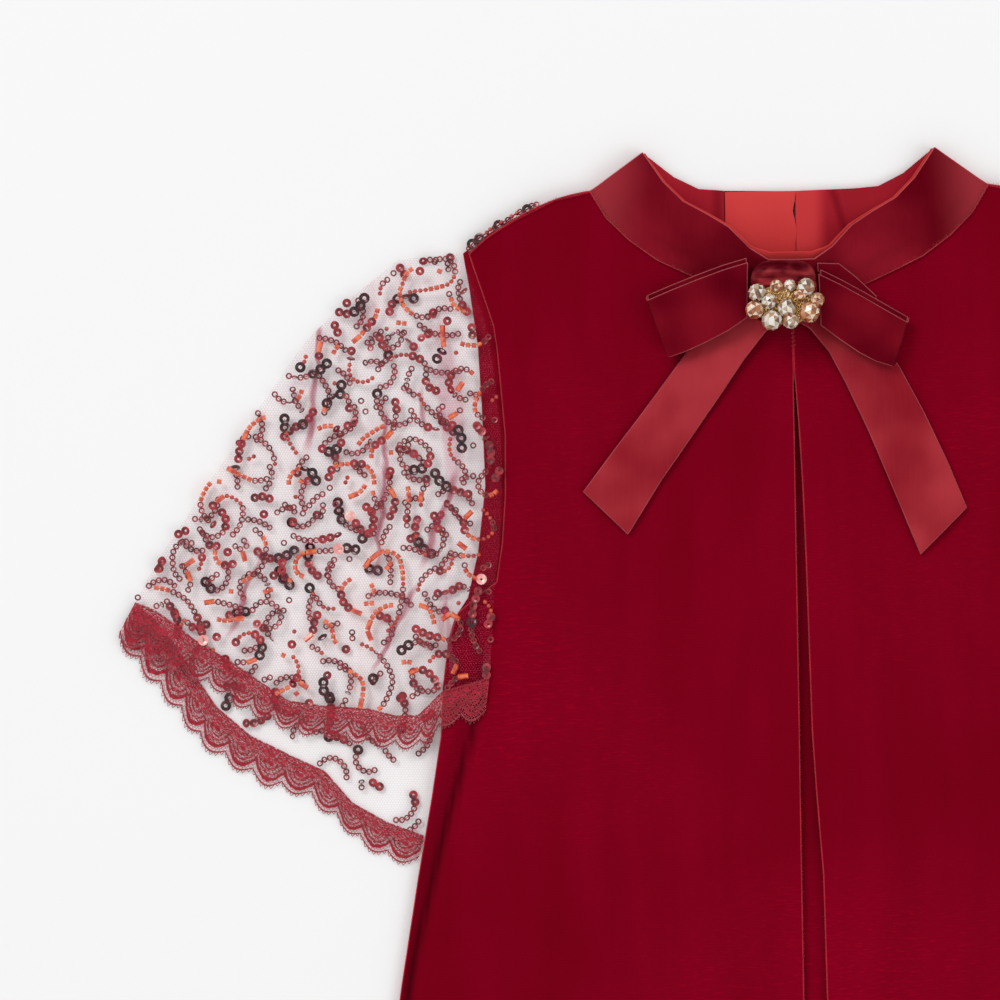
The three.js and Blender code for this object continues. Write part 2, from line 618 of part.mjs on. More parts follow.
// A ribbon loop: under layer out to the tip and upper layer back to the knot
function loopGrid(rows, gap) {
  const line = (row, z, pushOut) => {
    const points = [];
    for (let c = 0; c <= RIBBON_STEPS; c += 1) {
      const f = c / RIBBON_STEPS;
      const x = lerp(row.ux, row.dx, f) + pushOut.x;
      const y = lerp(row.uy, row.dy, f) + pushOut.y;
      points.push(v3(x, y, z + 0.6 * Math.sin(Math.PI * f)));
    }
    return points;
  };
  const still = v3(0, 0, 0);
  const grid = rows.map((row) => line(row, row.z, still));
  const tip = rows[rows.length - 1];
  const before = rows[rows.length - 2];
  const out = v3(tip.ux - before.ux, tip.uy - before.uy, 0).normalize();
  for (const degrees of FOLD_ANGLES) {
    const a = THREE.MathUtils.degToRad(degrees);
    const level = tip.z + (gap / 2) * (1 + Math.sin(a));
    grid.push(line(tip, level, out.clone().multiplyScalar(TIP_ROUND * Math.cos(a))));
  }
  for (const row of [...rows].reverse()) grid.push(line(row, row.z + gap, still));
  return grid;
}

// A single layer of ribbon at its own levels
function ribbonGrid(rows) {
  return rows.map((row) => {
    const points = [];
    for (let c = 0; c <= RIBBON_STEPS; c += 1) {
      const f = c / RIBBON_STEPS;
      points.push(v3(lerp(row.ux, row.dx, f), lerp(row.uy, row.dy, f), row.z));
    }
    return points;
  });
}

// The gathered knot: a soft pad with pleats across it
function knotGeometry() {
  const geometry = new THREE.SphereGeometry(1, 20, 12);
  geometry.deleteAttribute('normal');
  geometry.deleteAttribute('uv');
  const merged = mergeVertices(geometry, 1e-4);
  const position = merged.getAttribute('position');
  const p = new THREE.Vector3();
  for (let i = 0; i < position.count; i += 1) {
    p.fromBufferAttribute(position, i);
    const square = (value) => Math.sign(value) * Math.abs(value) ** KNOT.square;
    const pleat = 1 + 0.07 * Math.cos(9 * p.x);
    const x = KNOT.x + KNOT.halfX * square(p.x);
    const y = KNOT.y + KNOT.halfY * square(p.y);
    position.setXYZ(i, x, y, KNOT_Z + KNOT.halfZ * square(p.z) * pleat);
  }
  merged.computeVertexNormals();
  return merged;
}

function toManifold(wasm, geometry) {
  geometry.deleteAttribute('normal');
  geometry.deleteAttribute('uv');
  const merged = mergeVertices(geometry, 1e-4);
  const mesh = new wasm.Mesh({
    numProp: 3,
    vertProperties: new Float32Array(merged.getAttribute('position').array),
    triVerts: new Uint32Array(merged.getIndex().array),
  });
  return new wasm.Manifold(mesh);
}

// Faceted beads joined to the pad they are sewn to
async function clusterGeometry() {
  const wasm = await Module();
  wasm.setup();
  const pad = new THREE.SphereGeometry(1, 20, 6);
  pad.rotateX(Math.PI / 2);
  pad.scale(PAD.radiusX, PAD.radiusY, PAD.radiusZ);
  pad.translate(PAD.x, PAD.y, BEAD_PAD_Z + PAD.up);
  let body = toManifold(wasm, pad);
  for (const bead of BEADS) {
    const ball = new THREE.IcosahedronGeometry(bead.r, 1);
    ball.translate(bead.x, bead.y, BEAD_PAD_Z + 1.0 + bead.r * 0.8);
    body = body.add(toManifold(wasm, ball));
  }
  const mesh = body.getMesh();
  const geometry = new THREE.BufferGeometry();
  geometry.setAttribute('position', new THREE.Float32BufferAttribute(mesh.vertProperties, 3));
  geometry.setIndex(Array.from(mesh.triVerts));
  geometry.computeVertexNormals();
  return geometry;
}

add('front_left', wall(frontGrid(-1), VELVET), COLOURS.velvet);
add('front_right', wall(frontGrid(1), VELVET), COLOURS.velvet);
add('pleat_insert', wall(pleatGrid(), VELVET), COLOURS.velvet);

// The back of the body, flat on the surface, and the lining over its upper part
const backMid = BACK_VELVET / 2;
const liningMid = LINING_Z + LINING / 2;
const placketInner = SEAM - PLACKET_LEFT_X;
const LINING_ROWS = BACK_ROWS.slice(FIRST_LINING_ROW);
const backLeft = backGrid(BACK_ROWS, -1, -PLACKET_RIGHT_X, backMid);
const backRight = backGrid(BACK_ROWS, 1, BACK_RIGHT_INNER, backMid);
const liningLeft = backGrid(LINING_ROWS, -1, placketInner, liningMid);
const liningRight = backGrid(LINING_ROWS, 1, BACK_RIGHT_INNER, liningMid);
add('back_left', wall(backLeft, BACK_VELVET), COLOURS.velvet);
add('back_right', wall(backRight, BACK_VELVET), COLOURS.velvet);
add('back_lining_left', wall(liningLeft, LINING), COLOURS.lining);
add('back_lining_right', wall(liningRight, LINING), COLOURS.lining);
const placketMid = (PLACKET_LEFT_X + PLACKET_RIGHT_X) / 2;
const placketRows = PLACKET_ROWS_Y.map((y) => (
  [PLACKET_LEFT_X, placketMid, PLACKET_RIGHT_X].map((x) => v3(x, y, liningMid))));
add('back_placket', wall(placketRows, LINING), COLOURS.lining);

const frontNeck = bothHalves(FRONT_ROWS.slice(FIRST_NECK_ROW).map((row) => ({ x: row.inX, y: row.inY })));
const frontTop = bothHalves(FRONT_COLLAR_TOP);
const facingZ = LINING_TOP + SEAM + SATIN / 2;
const collarZ = facingZ + SATIN + SEAM;
const facingGrid = collarGrid(frontNeck, frontTop, facingZ, COLLAR_RISE);
add('collar_front_facing', wall(facingGrid, SATIN), COLOURS.lining, 0.4);
add('collar_front', wall(collarGrid(frontNeck, frontTop, collarZ, COLLAR_RISE), SATIN), COLOURS.satin, 0.4);

function backCollar(side, innerX, z) {
  const inner = (p) => side * (p === 0 ? innerX : Math.max(p, innerX));
  const neck = BACK_ROWS.slice(FIRST_BACK_NECK_ROW).map((row) => ({ x: inner(row.inX), y: row.inY }));
  const top = BACK_COLLAR_TOP.map((p) => ({ x: inner(p.x), y: p.y }));
  return collarGrid(neck, top, z, 0);
}
const outerLeft = backCollar(-1, -PLACKET_RIGHT_X, SATIN / 2);
const outerRight = backCollar(1, BACK_RIGHT_INNER, SATIN / 2);
const innerLeft = backCollar(-1, placketInner, liningMid);
const innerRight = backCollar(1, BACK_RIGHT_INNER, liningMid);
add('collar_back_left', wall(outerLeft, SATIN), COLOURS.satin, 0.4);
add('collar_back_right', wall(outerRight, SATIN), COLOURS.satin, 0.4);
add('collar_back_facing_left', wall(innerLeft, LINING), COLOURS.lining, 0.4);
add('collar_back_facing_right', wall(innerRight, LINING), COLOURS.lining, 0.4);

const sleeve = sleeveGrid();
const lace = laceGrid(sleeve);
add('sleeve_left', wall(mirror(sleeve), NET), COLOURS.net);
add('sleeve_right', wall(sleeve, NET), COLOURS.net);
add('lace_left', wall(mirror(lace), LACE), COLOURS.lace);
add('lace_right', wall(lace, LACE), COLOURS.lace);

add('bow_loop_left', wall(loopGrid(LEFT_LOOP, BOW_LOOP_GAP), SATIN), COLOURS.ribbon, 0.35);
add('bow_loop_right', wall(loopGrid(RIGHT_LOOP, BOW_LOOP_GAP), SATIN), COLOURS.ribbon, 0.35);
add('bow_loop_back', wall(ribbonGrid(BACK_LOOP), SATIN), COLOURS.ribbon, 0.35);
add('bow_tail_left', wall(tailGrid(LEFT_TAIL), SATIN), COLOURS.ribbon, 0.35);
add('bow_tail_right', wall(tailGrid(RIGHT_TAIL), SATIN), COLOURS.ribbon, 0.35);
add('bow_knot', knotGeometry(), COLOURS.ribbon, 0.35);
add('crystal_cluster', await clusterGeometry(), COLOURS.crystal, 0.1);

export default dress;
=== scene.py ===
# %% [markdown]
# # A toddler's party dress in crimson velvet
# The dress lies flat on a pale surface, front up, and is seen from straight above. Its pieces of
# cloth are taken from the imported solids, made finer and given their looks. What is too small for
# the solids is made here: the net's threads, the lace, the sequins and the beads.

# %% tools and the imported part
import math
import random

import bmesh
import bpy
from mathutils import Matrix, Vector
from mathutils.bvhtree import BVHTree


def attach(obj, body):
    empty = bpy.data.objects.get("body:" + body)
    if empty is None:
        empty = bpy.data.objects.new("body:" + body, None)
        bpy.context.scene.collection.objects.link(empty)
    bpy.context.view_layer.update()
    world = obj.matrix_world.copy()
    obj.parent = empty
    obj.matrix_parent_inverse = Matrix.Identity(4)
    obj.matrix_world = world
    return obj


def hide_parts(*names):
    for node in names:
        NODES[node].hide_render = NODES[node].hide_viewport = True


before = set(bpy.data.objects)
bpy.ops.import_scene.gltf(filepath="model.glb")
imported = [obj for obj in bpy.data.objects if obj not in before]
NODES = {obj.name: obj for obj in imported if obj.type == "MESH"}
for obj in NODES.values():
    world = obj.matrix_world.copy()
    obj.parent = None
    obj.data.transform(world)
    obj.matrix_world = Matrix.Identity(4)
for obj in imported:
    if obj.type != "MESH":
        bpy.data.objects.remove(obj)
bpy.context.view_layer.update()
MM = 0.001
print("solids in the part:", len(NODES))

# %% [markdown]
# ## Sizes
# The tables are in millimetres, in the dress's own frame: x to the right, y to the collar. Its
# outline is the same on both sides, so x in these tables is a distance from its middle. What a
# material reads and what a sheet was cut to are in metres, as Blender has them.

# %% sizes of the cloth and its edges
BODY_EDGE = [
    (190, -266), (184.5, -224), (178, -171), (169.5, -114), (160.9, -55), (153.2, -10),
    (147.2, 22), (143.2, 46), (142, 66), (139.6, 84), (135.4, 95.5), (127.5, 102),
    (119.8, 107.5), (117.3, 123), (115.8, 142), (115.4, 166), (116.9, 186), (118, 200),
    (121.4, 216.5), (124.8, 227), (128.7, 239.2),
]
SHOULDER = [(128.7, 239.2), (121.2, 246.1), (109.6, 252.8), (94.1, 260.2), (79.3, 263.4)]
FRONT_NET_HEM = [
    (264.8, 101.5), (257.2, 98.3), (248.7, 92.3), (241.3, 86.2), (225.4, 76.3), (214.8, 68.7),
    (204.2, 61.2), (190, 58.8), (172.1, 57.4), (161.5, 54.4), (152, 54.5), (142, 64), (123.2, 69),
]
FRONT_LACE_EDGE = [
    (272, 88.5), (263.2, 82), (255, 78.5), (245, 73), (232, 67.4), (221, 58.5), (210, 53.6),
    (200, 49.4), (186, 47.6), (172, 44.6), (160, 42.6), (151, 43), (141, 52), (125.2, 54.5),
]
BACK_NET_HEM = [
    (264.8, 101.5), (252, 88), (243, 74.5), (233.3, 59.2), (219.5, 47.2), (204.6, 39.5),
    (190, 32.5), (179, 19.6), (165, 11.4), (150.8, 6),
]
BACK_LACE_EDGE = [
    (272, 88.5), (260, 73), (249, 60), (238.8, 45.6), (226, 36.4), (212, 28), (198, 24.4),
    (187, 15.6), (176, 5), (165, -1.8), (153.2, -4),
]
FRONT_SCALLOPS = 16
BACK_SCALLOPS = 12
SCALLOP_DEPTH = 3.6
SIDES = ((-1, "left"), (1, "right"))
print("skirt width at its hem, in mm:", 2 * BODY_EDGE[0][0])

# %% [markdown]
# ## Shader maths
# A small class wraps a number socket, so that patterns are written as plain sums. Each sum adds
# one Math node to the material. Colours go through a Mix node, because a Math node would turn
# them grey.

# %% numbers that build shader nodes
def srgb(red, green, blue):
    """A colour given in 0 to 255 as seen on a screen, in linear values."""
    def linear(value):
        value /= 255
        return value / 12.92 if value <= 0.04045 else ((value + 0.055) / 1.055) ** 2.4
    return (linear(red), linear(green), linear(blue), 1.0)


class Num:
    """A number in a material, with the usual sums."""

    def __init__(self, graph, socket):
        self.graph = graph
        self.socket = socket

    def op(self, operation, *others, first=None):
        values = [self if first is None else first, *others]
        if first is not None:
            values.append(self)
        return self.graph.maths(operation, values)

    def __add__(self, other):
        return self.op("ADD", other)

    def __sub__(self, other):
        return self.op("SUBTRACT", other)

    def __rsub__(self, other):
        return self.op("SUBTRACT", first=other)

    def __mul__(self, other):
        return self.op("MULTIPLY", other)

    def __truediv__(self, other):
        return self.op("DIVIDE", other)

    def __rtruediv__(self, other):
        return self.op("DIVIDE", first=other)

    __radd__ = __add__
    __rmul__ = __mul__

    def __abs__(self):
        return self.op("ABSOLUTE")

    def sin(self):
        return self.op("SINE")

    def frac(self):
        return self.op("FRACT")

    def below(self, other):
        return self.op("LESS_THAN", other)

    def above(self, other):
        return self.op("GREATER_THAN", other)

    def least(self, other):
        return self.op("MINIMUM", other)

    def most(self, other):
        return self.op("MAXIMUM", other)

    def smooth(self, low, high):
        """0 up to low, 1 past high and a soft rise between them."""
        return self.graph.node(
            "ShaderNodeMapRange",
            {"interpolation_type": "SMOOTHSTEP"},
            {"Value": self, "From Min": low, "From Max": high},
        ).number("Result")


class Built:
    """A node that was just made, and its outputs."""

    def __init__(self, graph, node):
        self.graph = graph
        self.node = node

    def number(self, name):
        return Num(self.graph, self.node.outputs[name])

    def out(self, name):
        return self.node.outputs[name]


class Graph:
    """The nodes of one material."""

    def __init__(self, name):
        self.material = bpy.data.materials.new(name)
        self.material.use_nodes = True
        self.tree = self.material.node_tree
        self.shader = self.tree.nodes["Principled BSDF"]

    def put(self, socket, value):
        if isinstance(value, Num):
            value = value.socket
        if isinstance(value, bpy.types.NodeSocket):
            self.tree.links.new(value, socket)
        else:
            socket.default_value = value

    def node(self, kind, settings=None, inputs=None):
        node = self.tree.nodes.new(kind)
        for key, value in (settings or {}).items():
            setattr(node, key, value)
        for key, value in (inputs or {}).items():
            self.put(node.inputs[key], value)
        return Built(self, node)

    def maths(self, operation, values):
        node = self.tree.nodes.new("ShaderNodeMath")
        node.operation = operation
        for socket, value in zip(node.inputs, values):
            self.put(socket, value)
        return Num(self, node.outputs[0])

    def object_xyz(self):
        where = self.node("ShaderNodeTexCoord").out("Object")
        parts = self.node("ShaderNodeSeparateXYZ", inputs={"Vector": where})
        return parts.number("X"), parts.number("Y"), parts.number("Z")

    def noise(self, scale, detail=2.0, vector=None):
        """Soft random grey, on the dress's own coordinates unless a vector is given."""
        inputs = {"Scale": scale, "Detail": detail}
        inputs["Vector"] = vector or self.node("ShaderNodeTexCoord").out("Object")
        return self.node("ShaderNodeTexNoise", inputs=inputs).number("Fac")

    def join(self, x, y, z=0.0):
        return self.node("ShaderNodeCombineXYZ", inputs={"X": x, "Y": y, "Z": z}).out("Vector")

    def mix(self, amount, first, second):
        node = self.tree.nodes.new("ShaderNodeMix")
        node.data_type = "RGBA"
        self.put(node.inputs[0], amount)
        self.put(node.inputs[6], first)
        self.put(node.inputs[7], second)
        return node.outputs[2]

    def bump(self, height, strength, distance):
        sockets = {"Height": height, "Strength": strength, "Distance": distance}
        return self.node("ShaderNodeBump", inputs=sockets).out("Normal")

    def finish(self, **values):
        """Fills the shader's sockets, which are named in lower case here."""
        for key, value in values.items():
            socket = key.replace("_", " ").title().replace("Ior", "IOR")
            self.put(self.shader.inputs[socket], value)
        print("material made:", self.material.name)
        return self.material


def stripes(along, pitch):
    """A soft wave between 0 and 1, with one crest every pitch metres."""
    return (along * (math.tau / pitch)).sin() * 0.5 + 0.5

# %% [markdown]
# ## Velvet
# Silk-like velvet is a dense upright pile. It is darkest where it is seen straight on, and it
# glows red at its edges. Brushing turns the pile, so broad soft patches differ a little, and
# fine lines of the weave run across. A cloth this fine is all in the material: the colour and
# the bump come from noise, tiny lighter specks are painted glints, and the dips get painted
# shade from a number painted on the mesh.

# %% velvet material
PILE_LINE = 0.0011
PILE_SCALE = 1500.0
PILE_DEPTH = 0.0004
VELVET_DARK = srgb(112, 0, 20)
VELVET_LIGHT = srgb(132, 0, 30)
VELVET_GLOW = srgb(190, 8, 36)
VELVET_CREASE_SHADE = srgb(58, 0, 8)


def velvet_material():
    g = Graph("crimson_velvet")
    x, y, z = g.object_xyz()
    brush = g.noise(7.0, 3.0)
    stroke = g.noise(1.0, 3.0, g.join(x * 55.0, y * 9.0, z * 20.0))
    pile = g.noise(PILE_SCALE, 2.0)
    grain = g.noise(1.0, 2.0, g.join(x * 240.0, y * 1700.0, z * 240.0))
    lines = (y * (math.tau / PILE_LINE) + brush * 6.0).sin() * 0.5 + 0.5
    tone = brush * 0.9 + stroke * 0.5 - 0.2
    colour = g.mix(tone.smooth(0.15, 0.85), VELVET_DARK, VELVET_LIGHT)
    # Tiny lighter specks in the lighter patches are painted glints of the pile.
    painted_glint = (grain.smooth(0.52, 0.75) * brush.smooth(0.4, 0.75)) * 0.3
    colour = g.mix(painted_glint, colour, VELVET_GLOW)
    # Painted shade in the creases, from a number painted on the mesh.
    shade = g.node("ShaderNodeAttribute", {"attribute_name": "shade"}).number("Fac")
    colour = g.mix(shade, colour, VELVET_CREASE_SHADE)
    height = pile * 0.6 + lines * 0.25 + grain * 0.5
    return g.finish(
        base_color=colour,
        roughness=0.9,
        specular_ior_level=0.02,
        sheen_weight=0.3,
        sheen_roughness=0.4,
        sheen_tint=VELVET_GLOW,
        normal=g.bump(height, 0.45, PILE_DEPTH),
    )


VELVET = velvet_material()

# %% [markdown]
# ## Satin and lining
# The collar and ribbon are plain satin: smooth threads that float along the cloth, with soft
# lights that follow its bends, and broad zones of painted sheen in its colour. The lining is the
# same kind of cloth, brighter and a little duller in its shine. One function makes them all. A
# second one may paint shade and light on a cloth by place, because the lining dips into folds
# that are too slight for the solids, and the collar's ends turn up to the light.

# %% satin materials
FLOAT_PITCH = 0.00042
WEAVE_PITCH = 0.0006
SATIN_DEPTH = 0.00012
# Where the lining gets painted shade and painted light, in metres, and their colours.
LINING_SIDES = (0.085, 0.1)
LINING_SIDE_SHADE = srgb(130, 8, 30)
LIT_STRIP = (0.009, 0.016)
LINING_PAINTED_LIGHT = srgb(198, 58, 60)
SLANT_FOLD = (0.0175, 0.262)
SLANT_SLOPE = 0.3
PLACKET_SIDE = -0.0285
LINING_FOLD_SHADE = srgb(96, 4, 20)
# Where the collar's ends get painted light, and its colour.
COLLAR_ENDS = (0.093, 0.117)
COLLAR_PAINTED_LIGHT = srgb(160, 52, 60)


def lining_shade(g, x, y, colour):
    """Painted shade at the sides, in a slanting fold and by the placket, and painted light right of the
    middle.
    """
    colour = g.mix(abs(x).smooth(*LINING_SIDES), colour, LINING_SIDE_SHADE)
    lit = (1 - x.smooth(*LIT_STRIP)) * x.above(0.0) * 0.9
    colour = g.mix(lit, colour, LINING_PAINTED_LIGHT)
    slant = abs(x - SLANT_FOLD[0] - (SLANT_FOLD[1] - y) * SLANT_SLOPE)
    beside = abs(x - PLACKET_SIDE)
    dip = (1 - slant.smooth(0.0, 0.003)).most(1 - beside.smooth(0.0, 0.004)) * 0.5
    return g.mix(dip, colour, LINING_FOLD_SHADE)


def collar_shade(g, x, y, colour):
    """Painted light at the collar's two ends, which turn up to the light."""
    ends = (abs(x) + y * 0.15).smooth(*COLLAR_ENDS)
    return g.mix(ends * 0.75, colour, COLLAR_PAINTED_LIGHT)


def satin_material(name, dark, light, shine, zone_scale, zone, shade=None):
    """Satin with soft zones of dark and light as painted sheen; shine is its roughness."""
    g = Graph(name)
    x, y, z = g.object_xyz()
    painted_sheen = g.noise(zone_scale, 1.5)
    slub = g.noise(1.0, 2.0, g.join(x * 900.0, y * 90.0, z * 900.0))
    # Broad zones mix the dark and light satin as painted sheen; the slub is the thread's own unevenness.
    tone = painted_sheen.smooth(*zone) * 0.84 + slub * 0.16
    colour = g.mix(tone, dark, light)
    if shade:
        colour = shade(g, x, y, colour)
    height = stripes(x + y, FLOAT_PITCH) * 0.4 + stripes(x - y * 0.4, WEAVE_PITCH) * 0.3 + slub * 0.5
    return g.finish(
        base_color=colour,
        roughness=slub * 0.12 + (shine - 0.06),
        specular_ior_level=0.14,
        specular_tint=light,
        anisotropic=0.5,
        normal=g.bump(height, 0.18, SATIN_DEPTH),
    )


COLLAR_SATIN = satin_material(
    "collar_satin", srgb(86, 0, 14), srgb(142, 24, 40),
    shine=0.4, zone_scale=24.0, zone=(0.34, 0.76), shade=collar_shade)
RIBBON_SATIN = satin_material(
    "ribbon_satin", srgb(132, 20, 34), srgb(174, 54, 62),
    shine=0.38, zone_scale=34.0, zone=(0.3, 0.75))
# The loops and the knot are the tails' ribbon, coloured darker as painted shade; the knot's short bright
# patches are painted highlights.
LOOP_SATIN_SHADED = satin_material(
    "ribbon_satin_loops_shaded", srgb(84, 0, 16), srgb(128, 16, 32),
    shine=0.38, zone_scale=34.0, zone=(0.3, 0.75))
KNOT_SATIN_SHADED_LIT = satin_material(
    "ribbon_satin_knot_shaded_lit", srgb(78, 0, 16), srgb(160, 50, 56),
    shine=0.34, zone_scale=110.0, zone=(0.46, 0.72))
LINING = satin_material(
    "dull_lining", srgb(140, 22, 36), srgb(170, 38, 48),
    shine=0.5, zone_scale=18.0, zone=(0.3, 0.7), shade=lining_shade)
# The placket and the front facing are lining, coloured brighter as painted light.
LINING_LIT_COPY = satin_material(
    "lining_lit_copy", srgb(190, 52, 54), srgb(208, 66, 66),
    shine=0.5, zone_scale=18.0, zone=(0.3, 0.7))

# %% [markdown]
# ## Net
# The sleeves are a fine net of six-sided holes about a millimetre wide. The thread is thin and
# dusty red. The holes are cut by the material, on a single surface, because the threads are far
# thinner than the wall. The alpha is the share of a place that thread covers, so a fold, where
# the net lies in several layers, is simply more covered and darker.

# %% net material
HEX_WIDTH = 0.00108
HEX_HOLE = 0.88
HEX_RIM = 0.14
NET_DRIFT = 0.0016
ROOT3 = math.sqrt(3.0)
NET_COVER = 0.36
GATHER_COVER = 0.12
FOLD_COVER = 0.34
FOLD_END = 0.012
FOLD_COLOUR = srgb(160, 48, 72)
CELL_SHIFT = 10.0


def hex_distance(x, y):
    """How far a place is from the middle of its six-sided cell: 0 in the middle, 1 at the edge."""
    def fold(value, width):
        return (value / width).frac() * width - width / 2
    ax, ay = fold(x, 1.0), fold(y, ROOT3)
    bx, by = fold(x + 0.5, 1.0), fold(y + ROOT3 / 2, ROOT3)
    first = ax * ax + ay * ay
    second = bx * bx + by * by
    use_first = first.below(second)
    px = abs(ax * use_first + bx * (1 - use_first))
    py = abs(ay * use_first + by * (1 - use_first))
    return px.most(px * 0.5 + py * (ROOT3 / 2)) * 2.0


# Gathers of the net seen from the front: the two ends (x, y) in mm, and half the width.
NET_FOLDS = [
    ((188.5, 219.5), (194.6, 157.6), 1.7),
    ((162.2, 181.0), (167.4, 111.1), 1.3),
    ((149.0, 188.8), (147.4, 164.8), 1.4),
    ((133.7, 156.0), (150.4, 110.8), 2.0),
    ((150.4, 110.8), (171.1, 69.1), 1.7),
    ((140.6, 106.0), (139.1, 68.6), 1.3),
    ((212.2, 121.9), (228.9, 84.1), 1.5),
]


def net_folds(g, x, y):
    """How much of a narrow fold is at a place: 1 along its middle and 0 outside."""
    sway = g.noise(90.0, 1.0) * 0.006 - 0.003
    folds = None
    for start, end, width in NET_FOLDS:
        length = math.dist(start, end)
        way_x, way_y = (end[0] - start[0]) / length, (end[1] - start[1]) / length
        from_x, from_y = abs(x) - start[0] * MM, y - start[1] * MM
        along_fold = from_x * way_x + from_y * way_y
        across = abs(from_x * way_y - from_y * way_x + sway)
        leaving = along_fold.smooth(length * MM - FOLD_END, length * MM)
        inside = along_fold.smooth(0.0, FOLD_END) * (1 - leaving)
        fold = (1 - across.smooth(width * 0.25 * MM, width * MM)) * inside
        folds = fold if folds is None else folds.most(fold)
    return folds


def net_material(name, dark, light):
    g = Graph(name)
    x, y, _ = g.object_xyz()
    drift_x = g.noise(60.0, 1.0) * NET_DRIFT
    drift_y = g.noise(47.0, 1.0) * NET_DRIFT
    cell_x = (x + drift_x + CELL_SHIFT) / HEX_WIDTH
    cell_y = (y + drift_y + CELL_SHIFT) / HEX_WIDTH
    distance = hex_distance(cell_x, cell_y)
    gather = g.noise(1.0, 2.0, g.join(x * 75.0, y * 9.0)).smooth(0.56, 0.66)
    near_armhole = 1 - (abs(x) - 0.125).smooth(0.0, 0.075)
    folds = net_folds(g, x, y)
    thread = distance.smooth(HEX_HOLE, HEX_HOLE + HEX_RIM) * NET_COVER
    thread = thread + gather * near_armhole * GATHER_COVER + folds * FOLD_COVER
    twist = g.noise(2600.0, 1.0)
    colour = g.mix(twist.smooth(0.3, 0.7), dark, light)
    colour = g.mix(folds * 0.8, colour, FOLD_COLOUR)
    return g.finish(
        base_color=colour,
        roughness=0.75,
        alpha=thread,
        sheen_weight=0.2,
        specular_ior_level=0.2,
        normal=g.bump(twist + distance * 0.6, 0.3, 0.0001),
    )


NET = net_material("sleeve_net", srgb(178, 52, 88), srgb(240, 138, 172))

# %% [markdown]
# ## Lace
# The lace is drawn by its own coordinates: u counts scallops along the band, and v goes from
# the net's hem to the edge. Its upper half is dense. Below it each scallop is a shell: threads
# in arcs round a small flower, with open mesh between. Its thickest cords are real and come later.

# %% lace material
LACE_DEPTH = 15.0
SCALLOP_WIDTH = 10.0
FAN_FOOT_V = 0.42
FAN_RADIUS = 6.3
FAN_THREADS = 9
SHELL_STEP = 1.75
FLOWER_RADIUS = (0.7, 1.3)
LACE_DARK = srgb(122, 2, 28)
LACE_LIGHT = srgb(186, 32, 54)
LACE_MESH = srgb(196, 84, 96)


def lace_fan(g, u, v, wobble, slits):
    """The shell of a scallop: rings, rays and a flower within an arc of thread."""
    across = (u.frac() - 0.5) * SCALLOP_WIDTH
    down = (v - FAN_FOOT_V) * LACE_DEPTH
    radius = (across * across + down * down).op("SQRT")
    angle = g.maths("ARCTAN2", [across, down])
    ray = abs((angle * (FAN_THREADS / math.pi) + wobble * 1.4).frac() - 0.5) * 2.0
    ring = abs((radius * (1 / SHELL_STEP) + wobble * 1.6).frac() - 0.5) * 2.0
    within = radius.smooth(0.8, 1.6) * (1 - radius.smooth(FAN_RADIUS - 0.4, FAN_RADIUS))
    strands = slits.smooth(0.52, 0.6)
    shells = (ring.smooth(0.62, 0.84) + ray.smooth(0.8, 0.94) * 0.5 + strands) * within
    arc = 1 - abs(radius - FAN_RADIUS + (wobble - 0.5) * 1.6).smooth(0.3, 0.8)
    flower = 1 - radius.smooth(*FLOWER_RADIUS)
    return shells.least(1.0).most(arc).most(flower) * down.above(-0.6)


def lace_material():
    g = Graph("scallop_lace")
    uv = g.node("ShaderNodeTexCoord").out("UV")
    parts = g.node("ShaderNodeSeparateXYZ", inputs={"Vector": uv})
    u, v = parts.number("X"), parts.number("Y")
    wobble = g.noise(1.0, 2.0, g.join(u * 7.0, v * 5.0))
    slits = g.noise(1.0, 2.0, g.join(u * 9.0, v * 38.0))
    pores = g.noise(1.0, 2.0, g.join(u * 16.0, v * 22.0))
    wave = (u * (4 * math.pi)).sin() * 0.05
    band = 1 - (v + wave).smooth(FAN_FOOT_V - 0.06, FAN_FOOT_V + 0.08)
    dense = band * (pores * 0.4 + slits * 0.6).smooth(0.43, 0.5)
    solid = lace_fan(g, u, v, wobble, slits).most(dense)
    ground = hex_distance(u * 9.0 + wobble * 0.6, v * 13.0).smooth(0.78, 0.95)
    rim = v.smooth(0.93, 0.97)
    tone = (pores * 0.7 + wobble * 0.5).smooth(0.35, 0.8)
    thread = g.mix(tone, LACE_DARK, LACE_LIGHT)
    colour = g.mix(solid, LACE_MESH, thread)
    return g.finish(
        base_color=colour,
        roughness=0.78,
        alpha=solid.most(ground).most(rim),
        sheen_weight=0.2,
        specular_ior_level=0.2,
        normal=g.bump(solid + pores, 0.5, 0.0003),
    )


LACE = lace_material()

# %% [markdown]
# ## Thread, fibres and rims
# Cords are dull cotton-like thread. The velvet's rim and the fibres of its pile are coloured
# brighter than the velvet, as painted sheen, and the pressed edges of satin brighter than the
# satin, as painted highlights. One thread material in several colours does for them all.

# %% thread materials
def thread_material(name, dark, light, roughness=0.75):
    g = Graph(name)
    ply = g.noise(3200.0, 2.0)
    patch = g.noise(120.0, 2.0)
    colour = g.mix((ply * 0.5 + patch * 0.6).smooth(0.3, 0.8), dark, light)
    return g.finish(
        base_color=colour,
        roughness=roughness,
        sheen_weight=0.25,
        specular_ior_level=0.25,
        normal=g.bump(ply, 0.5, 0.0001),
    )


LACE_THREAD = thread_material("lace_thread", srgb(118, 4, 24), srgb(172, 34, 52))
BEAD_THREAD = thread_material("bead_thread", srgb(128, 20, 32), srgb(176, 58, 66))
GOLD_THREAD = thread_material("gold_thread", srgb(120, 78, 44), srgb(196, 152, 104), 0.45)
